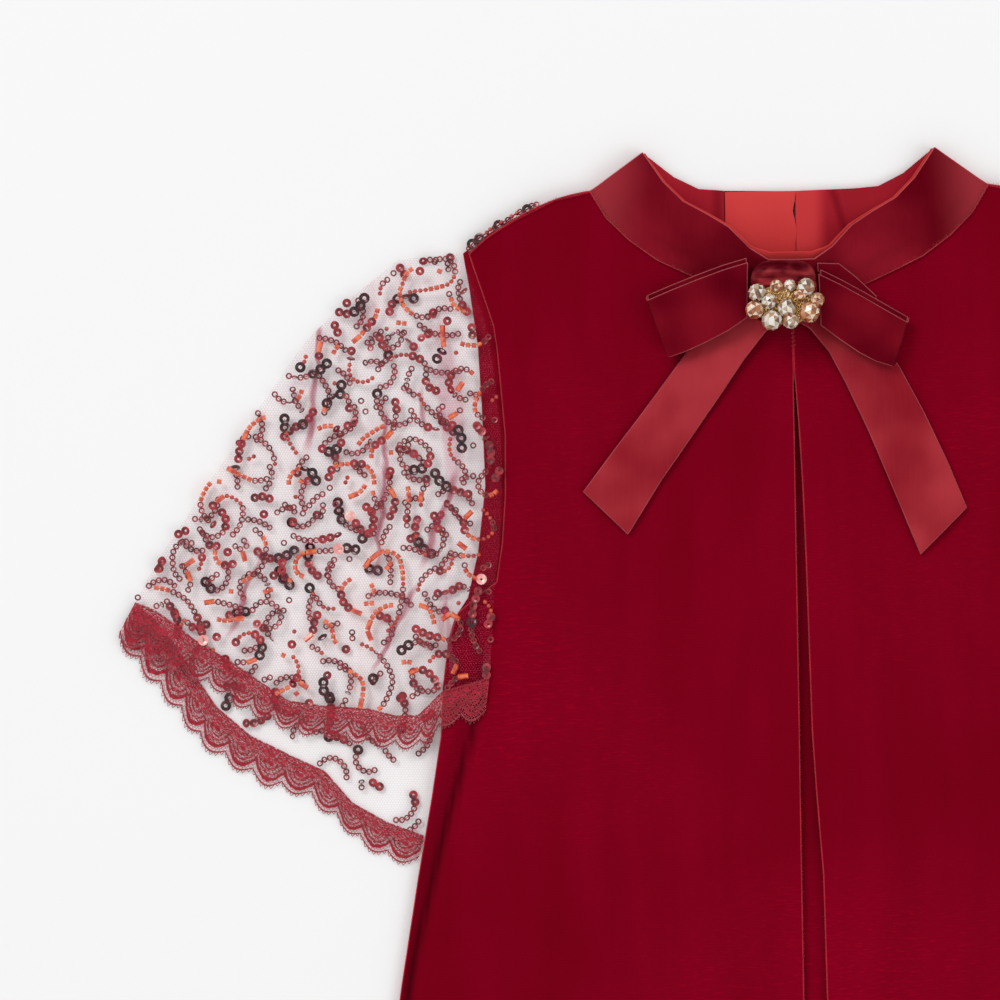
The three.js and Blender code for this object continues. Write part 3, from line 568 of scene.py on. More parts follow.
# Brighter colours for fibres and rims: painted sheen of the pile and painted highlights on satin edges.
PILE_FIBRE_SHEEN = thread_material("velvet_fibre_sheen", srgb(150, 0, 26), srgb(206, 18, 48), 0.9)
PILE_RIM_SHEEN = thread_material("velvet_rim_sheen", srgb(146, 2, 26), srgb(196, 26, 46), 0.9)
SATIN_RIM_HIGHLIGHT = thread_material("collar_rim_highlight", srgb(150, 40, 48), srgb(190, 74, 76), 0.5)
RIBBON_RIM_HIGHLIGHT = thread_material("ribbon_rim_highlight", srgb(134, 30, 42), srgb(174, 60, 68), 0.5)

# %% [markdown]
# ## Sequins, glass and crystals
# Sequins are plastic discs with a metal shine, and bugles and seeds are cut glass. They are too
# small to look through, so they are glossy and not clear. The cluster's crystals are larger:
# each of their flat faces gets a tone of its own, from dark to bright, as a painted reflection of
# another part of the room.

# %% glossy materials
CRYSTAL_PATCH = srgb(176, 104, 50)


def gloss_material(name, dark, light, roughness, metallic=0.0, coat=0.6, transmission=0.0):
    g = Graph(name)
    patch = g.noise(420.0, 1.0)
    scratch = g.noise(3500.0, 2.0)
    colour = g.mix(patch.smooth(0.3, 0.7), dark, light)
    return g.finish(
        base_color=colour,
        roughness=scratch * 0.1 + roughness,
        metallic=metallic,
        coat_weight=coat,
        transmission_weight=transmission,
        normal=g.bump(scratch, 0.12, 0.0001),
    )


def crystal_material(name, deep, middle, bright):
    g = Graph(name)
    # Each face's random number picks a dark, middle or bright tone: painted reflections of the room. The
    # amber patches are the glass's own tint, kept off the brightest faces.
    facet = g.node("ShaderNodeAttribute", {"attribute_name": "facet"}).number("Fac")
    haze = g.noise(300.0, 1.0) * 0.3 - 0.15
    tone = facet + haze
    colour = g.mix(tone.smooth(0.05, 0.45), deep, middle)
    colour = g.mix(tone.smooth(0.5, 0.8), colour, bright)
    amber = g.noise(330.0, 1.0).smooth(0.42, 0.6)
    colour = g.mix(amber * (1 - tone.smooth(0.6, 0.9)) * 0.7, colour, CRYSTAL_PATCH)
    return g.finish(
        base_color=colour,
        roughness=haze * 0.1 + 0.06,
        coat_weight=1.0,
        coat_roughness=0.02,
        transmission_weight=0.2,
    )


DARK_SEQUIN = gloss_material(
    "dark_sequin", srgb(28, 0, 6), srgb(74, 12, 20), 0.22, metallic=0.3, coat=0.4)
MID_SEQUIN = gloss_material(
    "burgundy_sequin", srgb(92, 2, 16), srgb(172, 36, 46), 0.3, metallic=0.15, coat=0.35)
RING_SEQUIN = gloss_material(
    "ring_sequin", srgb(78, 2, 14), srgb(156, 36, 42), 0.3, metallic=0.15, coat=0.35)
# Pale sequins that stand for sequins catching the light: a painted glint.
GLINT_SEQUIN = gloss_material(
    "glint_sequin_painted", srgb(236, 150, 146), srgb(250, 200, 190), 0.18, metallic=0.1)
BUGLE_GLASS = gloss_material(
    "bugle_glass", srgb(188, 52, 28), srgb(238, 112, 66), 0.14, coat=1.0)
SEED_GLASS = gloss_material(
    "seed_glass", srgb(150, 22, 26), srgb(206, 70, 50), 0.2, coat=0.7)
GOLD_GLASS = gloss_material(
    "gold_glass", srgb(206, 140, 70), srgb(248, 214, 160), 0.08, coat=1.0, transmission=0.3)
GOLD_WIRE = gloss_material(
    "gold_wire", srgb(196, 148, 70), srgb(236, 198, 120), 0.2, metallic=1.0, coat=0.3)
CRYSTAL_CLEAR = crystal_material(
    "crystal_clear", srgb(92, 62, 42), srgb(206, 184, 154), srgb(255, 250, 240))
CRYSTAL_AMBER = crystal_material(
    "crystal_amber", srgb(110, 46, 20), srgb(208, 128, 78), srgb(255, 232, 200))

# %% [markdown]
# ## Cloth from the solids
# Each cloth piece starts as a copy of its solid, so it has the same outline and lies in the same
# place. The copy is merged, its sharp rim is rounded, and it is divided so that soft folds can be
# raised in it. A simulation would move the cloth off its solid, and this dress lies still.

# %% helpers for meshes
SHARP_ANGLE = math.radians(50)
MERGE = 1e-6
RAY_TOP = 0.05
RAY_FOOT = -0.01
LEAST_SHARE = 0.31


def placed_object(name, data):
    obj = bpy.data.objects.new(name, data)
    bpy.context.scene.collection.objects.link(obj)
    return obj


def new_object(name, bm, materials):
    """An object from a bmesh, smooth but for its sharp edges."""
    for face in bm.faces:
        face.smooth = True
    for edge in sharp_edges(bm):
        edge.smooth = False
    mesh = bpy.data.meshes.new(name)
    bm.to_mesh(mesh)
    bm.free()
    for material in materials:
        mesh.materials.append(material)
    return placed_object(name, mesh)


def sharp_edges(bm):
    return [e for e in bm.edges if len(e.link_faces) == 2 and e.calc_face_angle(0.0) > SHARP_ANGLE]


def node_bmesh(node):
    """A solid of the part as one closed mesh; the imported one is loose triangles."""
    bm = bmesh.new()
    bm.from_mesh(NODES[node].data)
    bmesh.ops.transform(bm, matrix=NODES[node].matrix_world, verts=bm.verts)
    bmesh.ops.remove_doubles(bm, verts=bm.verts, dist=MERGE)
    bmesh.ops.recalc_face_normals(bm, faces=bm.faces)
    return bm


def node_tree(node):
    """A solid in the form that lines can be cast at."""
    bm = node_bmesh(node)
    tree = BVHTree.FromBMesh(bm)
    bm.free()
    return tree


def drop(tree, x, y):
    """Where a line straight down at x, y in metres meets a solid, or None."""
    return tree.ray_cast(Vector((x, y, RAY_TOP)), Vector((0, 0, -1)))[0]


def ease(value, low, high):
    t = min(max((value - low) / (high - low), 0.0), 1.0)
    return t * t * (3 - 2 * t)


def bell(distance, width):
    return math.exp(-(distance / width) ** 2)


def cloth_copy(node, name, looks, cuts, rim, lift=None, slide=None):
    """A finer copy of a solid, rounded at its rim; lift and slide move its points, all in mm.
    looks are its cloth and, where the rim differs, the rim's material."""
    bm = node_bmesh(node)
    if rim:
        bmesh.ops.bevel(
            bm, geom=sharp_edges(bm), offset=rim * MM, segments=2, profile=0.5,
            affect="EDGES", material=len(looks) - 1)
    bmesh.ops.subdivide_edges(bm, edges=bm.edges[:], cuts=cuts, use_grid_fill=True)
    for v in bm.verts:
        place = v.co / MM
        if lift:
            v.co.z += lift(*place) * MM
        if slide:
            v.co += Vector(slide(*place)) * MM
    bmesh.ops.recalc_face_normals(bm, faces=bm.faces)
    return new_object(name, bm, looks)


def face_area(obj):
    return sum(p.area for p in obj.data.polygons)


def dress_piece(obj, node):
    """Fastens a piece to the dress; node is the solid that it stands for, or None."""
    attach(obj, "root")
    if node:
        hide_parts(node)
    print(obj.name, "faces:", len(obj.data.polygons))
    return obj


def state_cut(obj, flat, area):
    """Prints what share of the rectangle it was cut from a sheet fills; flat gives the rectangle's sides
    in metres. The area is measured on the piece itself, so that the two agree is no proof of the cut."""
    width, length = flat
    whole = width * length
    area = min(max(area, LEAST_SHARE * width * length), whole)
    print(obj.name, "share of the rectangle it is cut from:", round(area / whole, 2))


def sewn_piece(node, name, looks, flat, cuts, rim, lift=None, slide=None):
    """A piece of cloth in place of its solid. Its cut is half the area of its closed wall."""
    obj = dress_piece(cloth_copy(node, name, looks, cuts, rim, lift, slide), node)
    state_cut(obj, flat, face_area(obj) / 2)
    return obj

# %% [markdown]
# ## Velvet front, back and pleat
# The skirt's front has a soft crease a finger's width inside each side edge, and broad rolls that
# run to the hem. They are raised by a sum of bell curves, which keeps them easy to place. The
# crease is a list of heights with its distance from the middle there, and each roll has its
# middle, its height and its width. The hidden back lies flat.

# %% soft creases of the front
CREASE = [
    (60, 127.2), (34, 134.8), (18, 139.7), (-16, 148.7), (-42, 155.3), (-150, 174), (-266, 188),
]
ROLLS = [
    (-76, 0.7, 13), (-36, 0.6, 10), (24, 0.8, 12), (52, 0.5, 12), (92, 0.6, 15), (128, 0.4, 12),
]
INNER_RIDGE = 1.5
OUTER_RIDGE = 0.5
SKIRT_TOP = (-40, 95)
CREASE_TOP = (40, 80)
SHADE_TOP = (55, 92)
SEAM_X = 0.5
SEAM_FOOT = (184, 190)
SEAM_CLOSE = 0.2
PANEL_CUT = (0.2, 0.55)
PLEAT_CUT = (0.11, 0.47)


def crease_x(y):
    """How far the side crease is from the middle, at a height."""
    for (y0, x0), (y1, x1) in zip(CREASE, CREASE[1:]):
        if y >= y1:
            share = min(max((y0 - y) / (y0 - y1), 0.0), 1.0)
            return x0 + (x1 - x0) * share
    return CREASE[-1][1]


def front_lift(x, y, z):
    """Ridges only, so that the front stays clear of what it lies on."""
    raised = 0.0
    low = 1 - ease(y, *SKIRT_TOP)
    for middle, height, width in ROLLS:
        drift = 4 * math.sin(y / 70 + middle)
        spread = 1 + 0.0016 * (SKIRT_TOP[1] - y)
        raised += height * low * bell(x - middle * spread - drift, width)
    inside = crease_x(y) - abs(x)
    beside = 1 - ease(y, *CREASE_TOP)
    raised += beside * INNER_RIDGE * ease(inside, 0.5, 5) * (1 - ease(inside, 10, 34))
    raised += beside * OUTER_RIDGE * ease(-inside, 0.5, 4)
    return raised


def close_seam(x, y, z):
    """Above the pleat the two halves of the front meet edge to edge."""
    share = ease(y, *SEAM_FOOT) * bell(x - SEAM_X, 1.2)
    return (SEAM_CLOSE * share * (1 if x < SEAM_X else -1), 0.0, 0.0)


def crease_shade(x, y):
    """How much painted shade the velvet gets where it dips: 1 in the crease, 0 away from it."""
    inside = crease_x(y) - abs(x)
    low = 1 - ease(y, *SHADE_TOP)
    return min(low * (0.75 * bell(inside, 1.6) + 0.3 * bell(inside + 4, 4)), 1.0)


def paint_shade(obj):
    layer = obj.data.attributes.new("shade", "FLOAT", "POINT")
    shades = [crease_shade(v.co.x / MM, v.co.y / MM) for v in obj.data.vertices]
    layer.data.foreach_set("value", shades)


VELVET_LOOKS = [VELVET, PILE_RIM_SHEEN]
for _, word in SIDES:
    front = sewn_piece(
        f"front_{word}", f"velvet_front_{word}", VELVET_LOOKS, PANEL_CUT,
        cuts=3, rim=0.45, lift=front_lift, slide=close_seam)
    paint_shade(front)
sewn_piece("pleat_insert", "velvet_pleat", [VELVET], PLEAT_CUT, cuts=1, rim=0)
for _, word in SIDES:
    sewn_piece(
        f"back_{word}", f"velvet_back_{word}", VELVET_LOOKS, PANEL_CUT,
        cuts=2, rim=0.3)

# %% [markdown]
# ## Collar, lining and placket
# The collar is a stand collar of satin with a facing of lining, whose edge peeps out along its
# top; the front facing and the placket are coloured brighter, as painted light. Its lower edge
# laps over the velvet, as a collar sewn on does. The lining shows inside the neck, and the
# placket is a loose strip down the middle of it.

# %% collar and lining
NECK_SEAM = [
    (0, 218.4), (12, 218.8), (25, 222.8), (38.4, 228.7), (53, 235.7), (64, 243.8), (73, 252.8),
    (79.3, 263.4),
]
SEAM_LAP = 1.3
LAP_RISE = 0.35
FACING_PEEP = 3.0
FACING_PEEP_SIDE = 1.1
BACK_LAP = 1.4
NECK_CENTRE_Y = 262
COLLAR_CUT = (0.22, 0.075)
BACK_COLLAR_CUT = (0.085, 0.04)
LINING_CUT = (0.145, 0.22)
PLACKET_CUT = (0.03, 0.205)


def facing_slide(x, y, z):
    """The facing's upper edge stands a little further into the neck than the collar's."""
    inward = Vector((-x, NECK_CENTRE_Y - y, 0))
    wide = FACING_PEEP_SIDE + (FACING_PEEP - FACING_PEEP_SIDE) * (1 - ease(abs(x), 8, 16))
    rise = ease(inward.length, 60, 20) if abs(x) > 60 else 1.0
    return inward.normalized() * wide * rise


def back_facing_slide(x, y, z):
    """The lower edge of the back facing laps over the lining."""
    lap = 1 - ease(y, 240.5, 246)
    return (0.0, -BACK_LAP * lap, LAP_RISE * lap)


def from_neck_seam(x, y):
    """How far a place is from the neck seam, and the way out of the neck there, in plan."""
    here, best = Vector((abs(x), y)), None
    for start, end in zip(NECK_SEAM, NECK_SEAM[1:]):
        a, b = Vector(start), Vector(end)
        share = min(max((here - a).dot(b - a) / (b - a).length_squared, 0.0), 1.0)
        gap = (here - a.lerp(b, share)).length
        if best is None or gap < best[0]:
            best = (gap, Vector((b.y - a.y, a.x - b.x)).normalized())
    return best


def collar_slide(x, y, z):
    """The collar's lower edge laps a little over the velvet."""
    gap, out = from_neck_seam(x, y)
    lap = 1 - ease(gap, 1.2, 5.0)
    return (math.copysign(out.x, x) * SEAM_LAP * lap, out.y * SEAM_LAP * lap, LAP_RISE * lap)


def collar_folds(x, y, z):
    """Soft folds that run along the collar, uneven from side to side."""
    gap, _ = from_neck_seam(x, y)
    inner = ease(gap, 3, 9)
    return inner * (0.5 * math.sin(x / 7 + y / 11) + 0.45 * math.sin(x / 17 - y / 6 + 1.2) + 0.9)


def placket_slide(x, y, z):
    """The placket's loose edge, near the middle of the back, ripples a little."""
    loose = ease(x, -7, 1)
    ripple = 0.5 * math.sin(0.29 * y) + 0.35 * math.sin(0.51 * y + 1.0)
    return (loose * ripple, 0.0, loose * 0.2)


sewn_piece(
    "collar_front", "collar_satin_front", [COLLAR_SATIN, SATIN_RIM_HIGHLIGHT], COLLAR_CUT,
    cuts=3, rim=0.3, lift=collar_folds, slide=collar_slide)
sewn_piece(
    "collar_front_facing", "collar_facing_front", [LINING_LIT_COPY], COLLAR_CUT,
    cuts=2, rim=0.2, slide=facing_slide)
for _, word in SIDES:
    sewn_piece(
        f"collar_back_{word}", f"collar_satin_back_{word}", [COLLAR_SATIN],
        BACK_COLLAR_CUT, cuts=1, rim=0.25)
    sewn_piece(
        f"collar_back_facing_{word}", f"collar_facing_back_{word}", [LINING],
        BACK_COLLAR_CUT, cuts=2, rim=0.2, slide=back_facing_slide)
    sewn_piece(
        f"back_lining_{word}", f"lining_back_{word}", [LINING], LINING_CUT,
        cuts=1, rim=0.2)
sewn_piece(
    "back_placket", "lining_placket", [LINING_LIT_COPY], PLACKET_CUT,
    cuts=5, rim=0.2, slide=placket_slide)

# %% [markdown]
# ## Ribbon bow
# A flat satin ribbon makes two loops and two tails. The under layer of a loop sits a little
# higher up the dress, so two edges show. The knot is a short piece wrapped round the middle.

# %% bow
LOOP_LEVELS = [(14, 16.9), (27, 15.9), (38, 14.1), (48, 12.3), (57, 11.1)]
LOOP_PEEP = (0.3, 1.9)
RIGHT_LOOP_SHORTER = 1.28
RIBBON_EDGE = 0.35
TAIL_WAVE = 0.35
KNOT_TOP = (17.5, 20.5)
KNOT_GATHER = 1.2


def loop_middle(across):
    """Height midway between the two layers of a loop."""
    for (x0, z0), (x1, z1) in zip(LOOP_LEVELS, LOOP_LEVELS[1:]):
        if across <= x1:
            return z0 + (z1 - z0) * max((across - x0) / (x1 - x0), 0.0)
    return LOOP_LEVELS[-1][1]


def left_loop_slide(x, y, z):
    below = ease(loop_middle(-x) - z, -1.0, 1.0)
    return (-LOOP_PEEP[0] * below, LOOP_PEEP[1] * below, 0.0)


def right_loop_slide(x, y, z):
    below = ease(loop_middle(RIGHT_LOOP_SHORTER * x) - z, -1.0, 1.0)
    return (LOOP_PEEP[1] * below * 0.5, LOOP_PEEP[1] * below, 0.0)


def tail_wave(x, y, z):
    return TAIL_WAVE * math.sin(0.11 * x + 0.16 * y) + TAIL_WAVE


def knot_gathers(x, y, z):
    top = ease(z, *KNOT_TOP)
    gathers = math.sin(1.3 * y + 0.9 * math.sin(0.22 * x) + 0.3)
    return top * KNOT_GATHER * gathers


RIBBON_PIECES = [
    ("loop_left", LOOP_SATIN_SHADED, 2, (0.025, 0.1), None, left_loop_slide, "folded"),
    ("loop_right", LOOP_SATIN_SHADED, 2, (0.025, 0.1), None, right_loop_slide, "folded"),
    ("loop_back", LOOP_SATIN_SHADED, 2, (0.012, 0.03), None, None, "folded"),
    ("tail_left", RIBBON_SATIN, 3, (0.026, 0.13), tail_wave, None, "laid"),
    ("tail_right", RIBBON_SATIN, 3, (0.026, 0.13), tail_wave, None, "laid"),
]
for word, satin, cuts, flat, lift, slide, held in RIBBON_PIECES:
    sewn_piece(
        f"bow_{word}", f"ribbon_{word}", [satin, RIBBON_RIM_HIGHLIGHT], flat,
        cuts=cuts, rim=RIBBON_EDGE, lift=lift, slide=slide)
knot = cloth_copy("bow_knot", "ribbon_knot", [KNOT_SATIN_SHADED_LIT], cuts=3, rim=0, lift=knot_gathers)
dress_piece(knot, "bow_knot")

# %% [markdown]
# ## Small shapes
# Sequins, beads and fibres are small shapes stamped many times into one mesh, because thousands
# of objects would be slow to handle. Each shape has only a few faces. Threads and cords are
# curves with a round section, turned into meshes.

# %% stamps and cords
LIE_DOWN = Matrix.Rotation(math.pi / 2, 3, "Y")
RING_SIDES = 12
TUBE_SIDES = 6
SPIKE_SIDES = 3
FLAT_RIM_SHARE = 0.35


def stamp_from(bm):
    """The points and faces of a small shape, to be repeated."""
    bm.verts.index_update()
    shape = ([v.co.copy() for v in bm.verts], [[v.index for v in f.verts] for f in bm.faces])
    bm.free()
    return shape


def ring_stamp(outer, inner, dish):
    """A sequin: a disc with a hole, dished towards the middle, with a flat rim."""
    bm = bmesh.new()
    bmesh.ops.create_circle(bm, cap_ends=True, segments=RING_SIDES, radius=outer * MM)
    rim = (outer - inner) * FLAT_RIM_SHARE
    for width, depth in ((rim, 0.0), (outer - inner - rim, -dish)):
        middle = max(bm.faces, key=lambda f: len(f.verts))
        bmesh.ops.inset_individual(bm, faces=[middle], thickness=width * MM, depth=depth * MM)
    middle = max(bm.faces, key=lambda f: len(f.verts))
    bmesh.ops.delete(bm, geom=[middle], context="FACES_ONLY")
    return stamp_from(bm)


def tube_stamp(radius, length):
    """A bugle: a short six-sided tube of glass that lies along x."""
    bm = bmesh.new()
    bmesh.ops.create_cone(
        bm, cap_ends=True, segments=TUBE_SIDES, radius1=radius * MM, radius2=radius * MM,
        depth=length * MM)
    bmesh.ops.rotate(bm, verts=bm.verts, matrix=LIE_DOWN)
    return stamp_from(bm)


def ball_stamp(radius, level=1, squash=0.8):
    bm = bmesh.new()
    bmesh.ops.create_icosphere(bm, subdivisions=level, radius=radius * MM)
    bmesh.ops.scale(bm, verts=bm.verts, vec=(1, 1, squash))
    return stamp_from(bm)


def spike_stamp(radius, length):
    """A fibre: a thin spike that starts at its foot and lies along x."""
    bm = bmesh.new()
    bmesh.ops.create_cone(
        bm, cap_ends=False, segments=SPIKE_SIDES, radius1=radius * MM, radius2=0.0,
        depth=length * MM)
    bmesh.ops.translate(bm, verts=bm.verts, vec=(0, 0, length * MM / 2))
    bmesh.ops.rotate(bm, verts=bm.verts, matrix=LIE_DOWN)
    bmesh.ops.remove_doubles(bm, verts=bm.verts, dist=MERGE)
    return stamp_from(bm)


def stamped(name, items, material, smooth=True, facet_seed=None):
    """One mesh of many stamps; items are pairs of a stamp and its matrix.
    With a facet seed, every face gets a random number, which the crystal material turns into a tone of
    painted reflection."""
    points, faces = [], []
    for (shape_points, shape_faces), matrix in items:
        start = len(points)
        points.extend(matrix @ p for p in shape_points)
        faces.extend([start + i for i in face] for face in shape_faces)
    mesh = bpy.data.meshes.new(name)
    mesh.from_pydata(points, [], faces)
    mesh.materials.append(material)
    mesh.polygons.foreach_set("use_smooth", [smooth] * len(mesh.polygons))
    if facet_seed is not None:
        rng = random.Random(facet_seed)
        layer = mesh.attributes.new("facet", "FLOAT", "FACE")
        layer.data.foreach_set("value", [rng.random() for _ in mesh.polygons])
    return placed_object(name, mesh)


def cords(name, paths, radius, material, resolution=0):
    """One mesh of round cords along the paths, which are lists of points in metres."""
    data = bpy.data.curves.new(name + "_line", "CURVE")
    data.dimensions = "3D"
    data.bevel_depth = radius * MM
    data.bevel_resolution = resolution
    for path in paths:
        spline = data.splines.new("POLY")
        spline.points.add(len(path) - 1)
        for point, place in zip(spline.points, path):
            point.co = (*place, 1.0)
    holder = placed_object(name + "_line", data)
    bpy.context.view_layer.update()
    source = holder.evaluated_get(bpy.context.evaluated_depsgraph_get())
    mesh = bpy.data.meshes.new_from_object(source)
    mesh.name = name
    bpy.data.objects.remove(holder)
    bpy.data.curves.remove(data)
    mesh.materials.clear()
    mesh.materials.append(material)
    mesh.polygons.foreach_set("use_smooth", [True] * len(mesh.polygons))
    return placed_object(name, mesh)

# %% [markdown]
# ## Sleeves of net
# A sleeve is one surface of net, folded flat. The outer faces of the solid's wall are kept and
# the inner ones are left out, so that the eye looks through two layers of net, as on the real
# sleeve. Smoothing along z alone takes the steps out and leaves the outline as it is.

# %% sleeves
SLEEVE_MIDDLE = (190, 120)
BETWEEN_LAYERS_Z = 1.3
LEVEL_FACE = 0.35
OUTWARD = 0.2
SLEEVE_CUT = (0.36, 0.26)


def outer_faces(bm, side):
    """The faces of a folded wall that look away from the space between its two layers."""
    middle = Vector((side * SLEEVE_MIDDLE[0] * MM, SLEEVE_MIDDLE[1] * MM, 0))
    kept = []
    for face in bm.faces:
        centre = face.calc_center_median()
        away = centre - middle
        away.z = 0
        sideways = away.normalized().dot(face.normal)
        upright = face.normal.z * (1 if centre.z > BETWEEN_LAYERS_Z * MM else -1)
        steep = abs(face.normal.z) <= LEVEL_FACE
        if upright > LEVEL_FACE or (steep and sideways > OUTWARD):
            kept.append(face)
    return kept


def sleeve_net(side, word):
    bm = node_bmesh(f"sleeve_{word}")
    keep = set(outer_faces(bm, side))
    bmesh.ops.delete(bm, geom=[f for f in bm.faces if f not in keep], context="FACES")
    bmesh.ops.subdivide_edges(bm, edges=bm.edges[:], cuts=2, use_grid_fill=True)
    bmesh.ops.smooth_vert(
        bm, verts=[v for v in bm.verts if not v.is_boundary], factor=0.5,
        use_axis_x=False, use_axis_y=False, use_axis_z=True)
    return new_object(f"net_sleeve_{word}", bm, [NET])


for side, word in SIDES:
    sleeve = dress_piece(sleeve_net(side, word), f"sleeve_{word}")
    state_cut(sleeve, SLEEVE_CUT, face_area(sleeve))

# %% [markdown]
# ## Lace along the sleeves
# A sleeve's lace has an upper and an under layer that meet at the outer fold. Each is a band
# mapped from a flat grid, which gives it the coordinates that its material reads. Its cords, the
# arcs of its shells and the tiny loops of its rim are real threads that stand up from it.

# %% places along the lace
LACE_THICK = 1.1
LACE_SEEK_Z = 4
LACE_CUT = (0.36, 0.017)
LACE_RUNS = ((0.02, 0.0), (0.2, 0.05), (FAN_FOOT_V, 0.04))
LACE_CORD = 0.16
CORD_UP = 0.1
RIM_UP = 0.05
ARC_UP = 0.12
STEPS = 8
ROWS = 5
HEM_TUCK = 0.03
RIM_V = 0.97
PICOTS = 6
PICOT_FEET = (0.1, 0.9)
PICOT_FOOT_V = 0.98
PICOT_OUT = 1.2
SHELL_ARCS = (2.3, 4.1, 5.9)
ARC_HALF_TURN = 80
ARC_POINTS = 7


def along(points, share):
    """The place at a share of a line's length."""
    lengths = [math.dist(a, b) for a, b in zip(points, points[1:])]
    left = min(max(share, 0.0), 1.0) * sum(lengths)
    for a, b, length in zip(points, points[1:], lengths):
        if left <= length:
            return Vector(a).lerp(Vector(b), left / length)
        left -= length
    return Vector(points[-1])


class Band:
    """One layer of one lace; u counts scallops from the outer fold, v runs from hem to edge."""

    def __init__(self, side, tree, upper):
        self.side = side
        self.tree = tree
        self.upper = upper
        self.hem = FRONT_NET_HEM if upper else BACK_NET_HEM
        self.edge = FRONT_LACE_EDGE if upper else BACK_LACE_EDGE
        self.scallops = FRONT_SCALLOPS if upper else BACK_SCALLOPS

    def level(self, x, y):
        """Height of the lace at a place: it rests on its solid's upper face."""
        least = LACE_THICK * MM
        if not self.upper:
            return least
        hit = drop(self.tree, x, y)
        if hit is None or hit.z < least:
            hit = self.tree.find_nearest(Vector((x, y, LACE_SEEK_Z * MM)))[0]
        return max(hit.z, least)

    def place(self, u, v, up=0.0):
        head = along(self.hem, u / self.scallops)
        foot = along(self.edge, u / self.scallops)
        out = (foot - head).normalized()
        bulge = SCALLOP_DEPTH * (abs(math.sin(math.pi * u)) - 0.5) * max(v, 0.0)
        flat = head.lerp(foot, v) + out * bulge
        x, y = self.side * flat.x * MM, flat.y * MM
        return Vector((x, y, self.level(x, y) + up * MM))


def band_mesh(name, bands):
    """The bands of one sleeve as one sheet with its own coordinates."""
    bm = bmesh.new()
    uv = bm.loops.layers.uv.new("UVMap")
    for band in bands:
        columns = band.scallops * STEPS
        grid = bmesh.ops.create_grid(bm, x_segments=columns, y_segments=ROWS, size=0.5)
        marks = {v: (v.co.x + 0.5, v.co.y + 0.5) for v in grid["verts"]}
        for face in {f for v in marks for f in v.link_faces}:
            for loop in face.loops:
                share, v = marks[loop.vert]
                loop[uv].uv = (share * band.scallops, v)
        for vert, (share, v) in marks.items():
            vert.co = band.place(share * band.scallops, v * (1 + HEM_TUCK) - HEM_TUCK)
    return new_object(name, bm, [LACE])


def long_cords(band):
    """Three cords along the dense half of a band, and one along its rim."""
    paths = []
    places = [i / STEPS for i in range(band.scallops * STEPS + 1)]
    for v, wave in LACE_RUNS:
        paths.append([band.place(u, v + wave * math.sin(4 * math.pi * u), CORD_UP) for u in places])
    paths.append([band.place(u, RIM_V, RIM_UP) for u in places])
    return paths


def picot(band, left, right):
    """A tiny loop of thread past the rim."""
    tip = 1.0 + PICOT_OUT / LACE_DEPTH
    middle = (left + right) / 2
    return [
        band.place(left, PICOT_FOOT_V), band.place(middle, tip), band.place(right, PICOT_FOOT_V),
    ]


def shell_arc(band, scallop, reach):
    """One arc of a scallop's shell, round the flower at its foot."""
    arc = []
    for k in range(ARC_POINTS):
        turn = math.radians(-ARC_HALF_TURN + 2 * ARC_HALF_TURN * k / (ARC_POINTS - 1))
        u = scallop + 0.5 + math.sin(turn) * reach / SCALLOP_WIDTH
        v = FAN_FOOT_V + math.cos(turn) * reach / LACE_DEPTH
        arc.append(band.place(u, min(v, RIM_V), ARC_UP))
    return arc


def band_cords(band):
    paths = long_cords(band)
    for scallop in range(band.scallops):
        for k in range(PICOTS):
            left, right = (scallop + (k + foot) / PICOTS for foot in PICOT_FEET)
            paths.append(picot(band, left, right))
        for reach in SHELL_ARCS:
            paths.append(shell_arc(band, scallop, reach))
    return paths


for side, word in SIDES:
    tree = node_tree(f"lace_{word}")
    bands = [Band(side, tree, True), Band(side, tree, False)]
    lace = dress_piece(band_mesh(f"lace_band_{word}", bands), f"lace_{word}")
    state_cut(lace, LACE_CUT, face_area(lace))
    paths = [path for band in bands for path in band_cords(band)]
    dress_piece(cords(f"lace_cords_{word}", paths, LACE_CORD, LACE_THREAD), None)

# %% [markdown]
# ## Sequins and beads on the net
# Short lines of beads wander over the net. Each line is a few runs of one kind, as a thread
# picks them up: small rings, burgundy discs, dark discs in twos and threes, glass bugles and
# seeds. A line stops where it would come too near another, so the net is filled evenly.
# Random numbers with a fixed seed make the lines, so every run gives the same ones.

# %% kinds of beads
BEAD_UP = 0.45
BEAD_UP_SPREAD = 0.3
GLASS_TILT = 0.12
SEQUIN_TILT = 0.22
EDGE_ON_SHARE = 0.05
EDGE_ON_TILT = (0.9, 1.2)
KINDS = {
    "ring": {"stamp": ring_stamp(1.3, 0.68, 0.15), "material": RING_SEQUIN, "step": 2.35, "run": (2, 6)},
    "mid": {"stamp": ring_stamp(1.8, 0.46, 0.3), "material": MID_SEQUIN, "step": 3.1, "run": (1, 3)},
    "dark": {"stamp": ring_stamp(2.2, 0.78, 0.5), "material": DARK_SEQUIN, "step": 3.5, "run": (1, 3)},
    "bugle": {"stamp": tube_stamp(1.05, 4.2), "material": BUGLE_GLASS, "step": 4.6, "run": (1, 1)},
    "chip": {"stamp": tube_stamp(0.95, 1.8), "material": BUGLE_GLASS, "step": 2.3, "run": (1, 4)},
    "seed": {"stamp": ball_stamp(1.05), "material": SEED_GLASS, "step": 2.1, "run": (1, 4)},
    "glint": {"stamp": ring_stamp(2.2, 0.5, 0.5), "material": GLINT_SEQUIN, "step": 3.4, "run": (1, 1)},
}
UPPER_SHARES = {
    "ring": 0.27, "mid": 0.24, "dark": 0.08, "bugle": 0.1, "chip": 0.17, "seed": 0.12,
    "glint": 0.015,
}
UNDER_SHARES = {"ring": 0.6, "mid": 0.28, "dark": 0.12}
TUBES = ("bugle", "chip")
GLASS = ("bugle", "chip", "seed")
LINE_GAP = 3.6
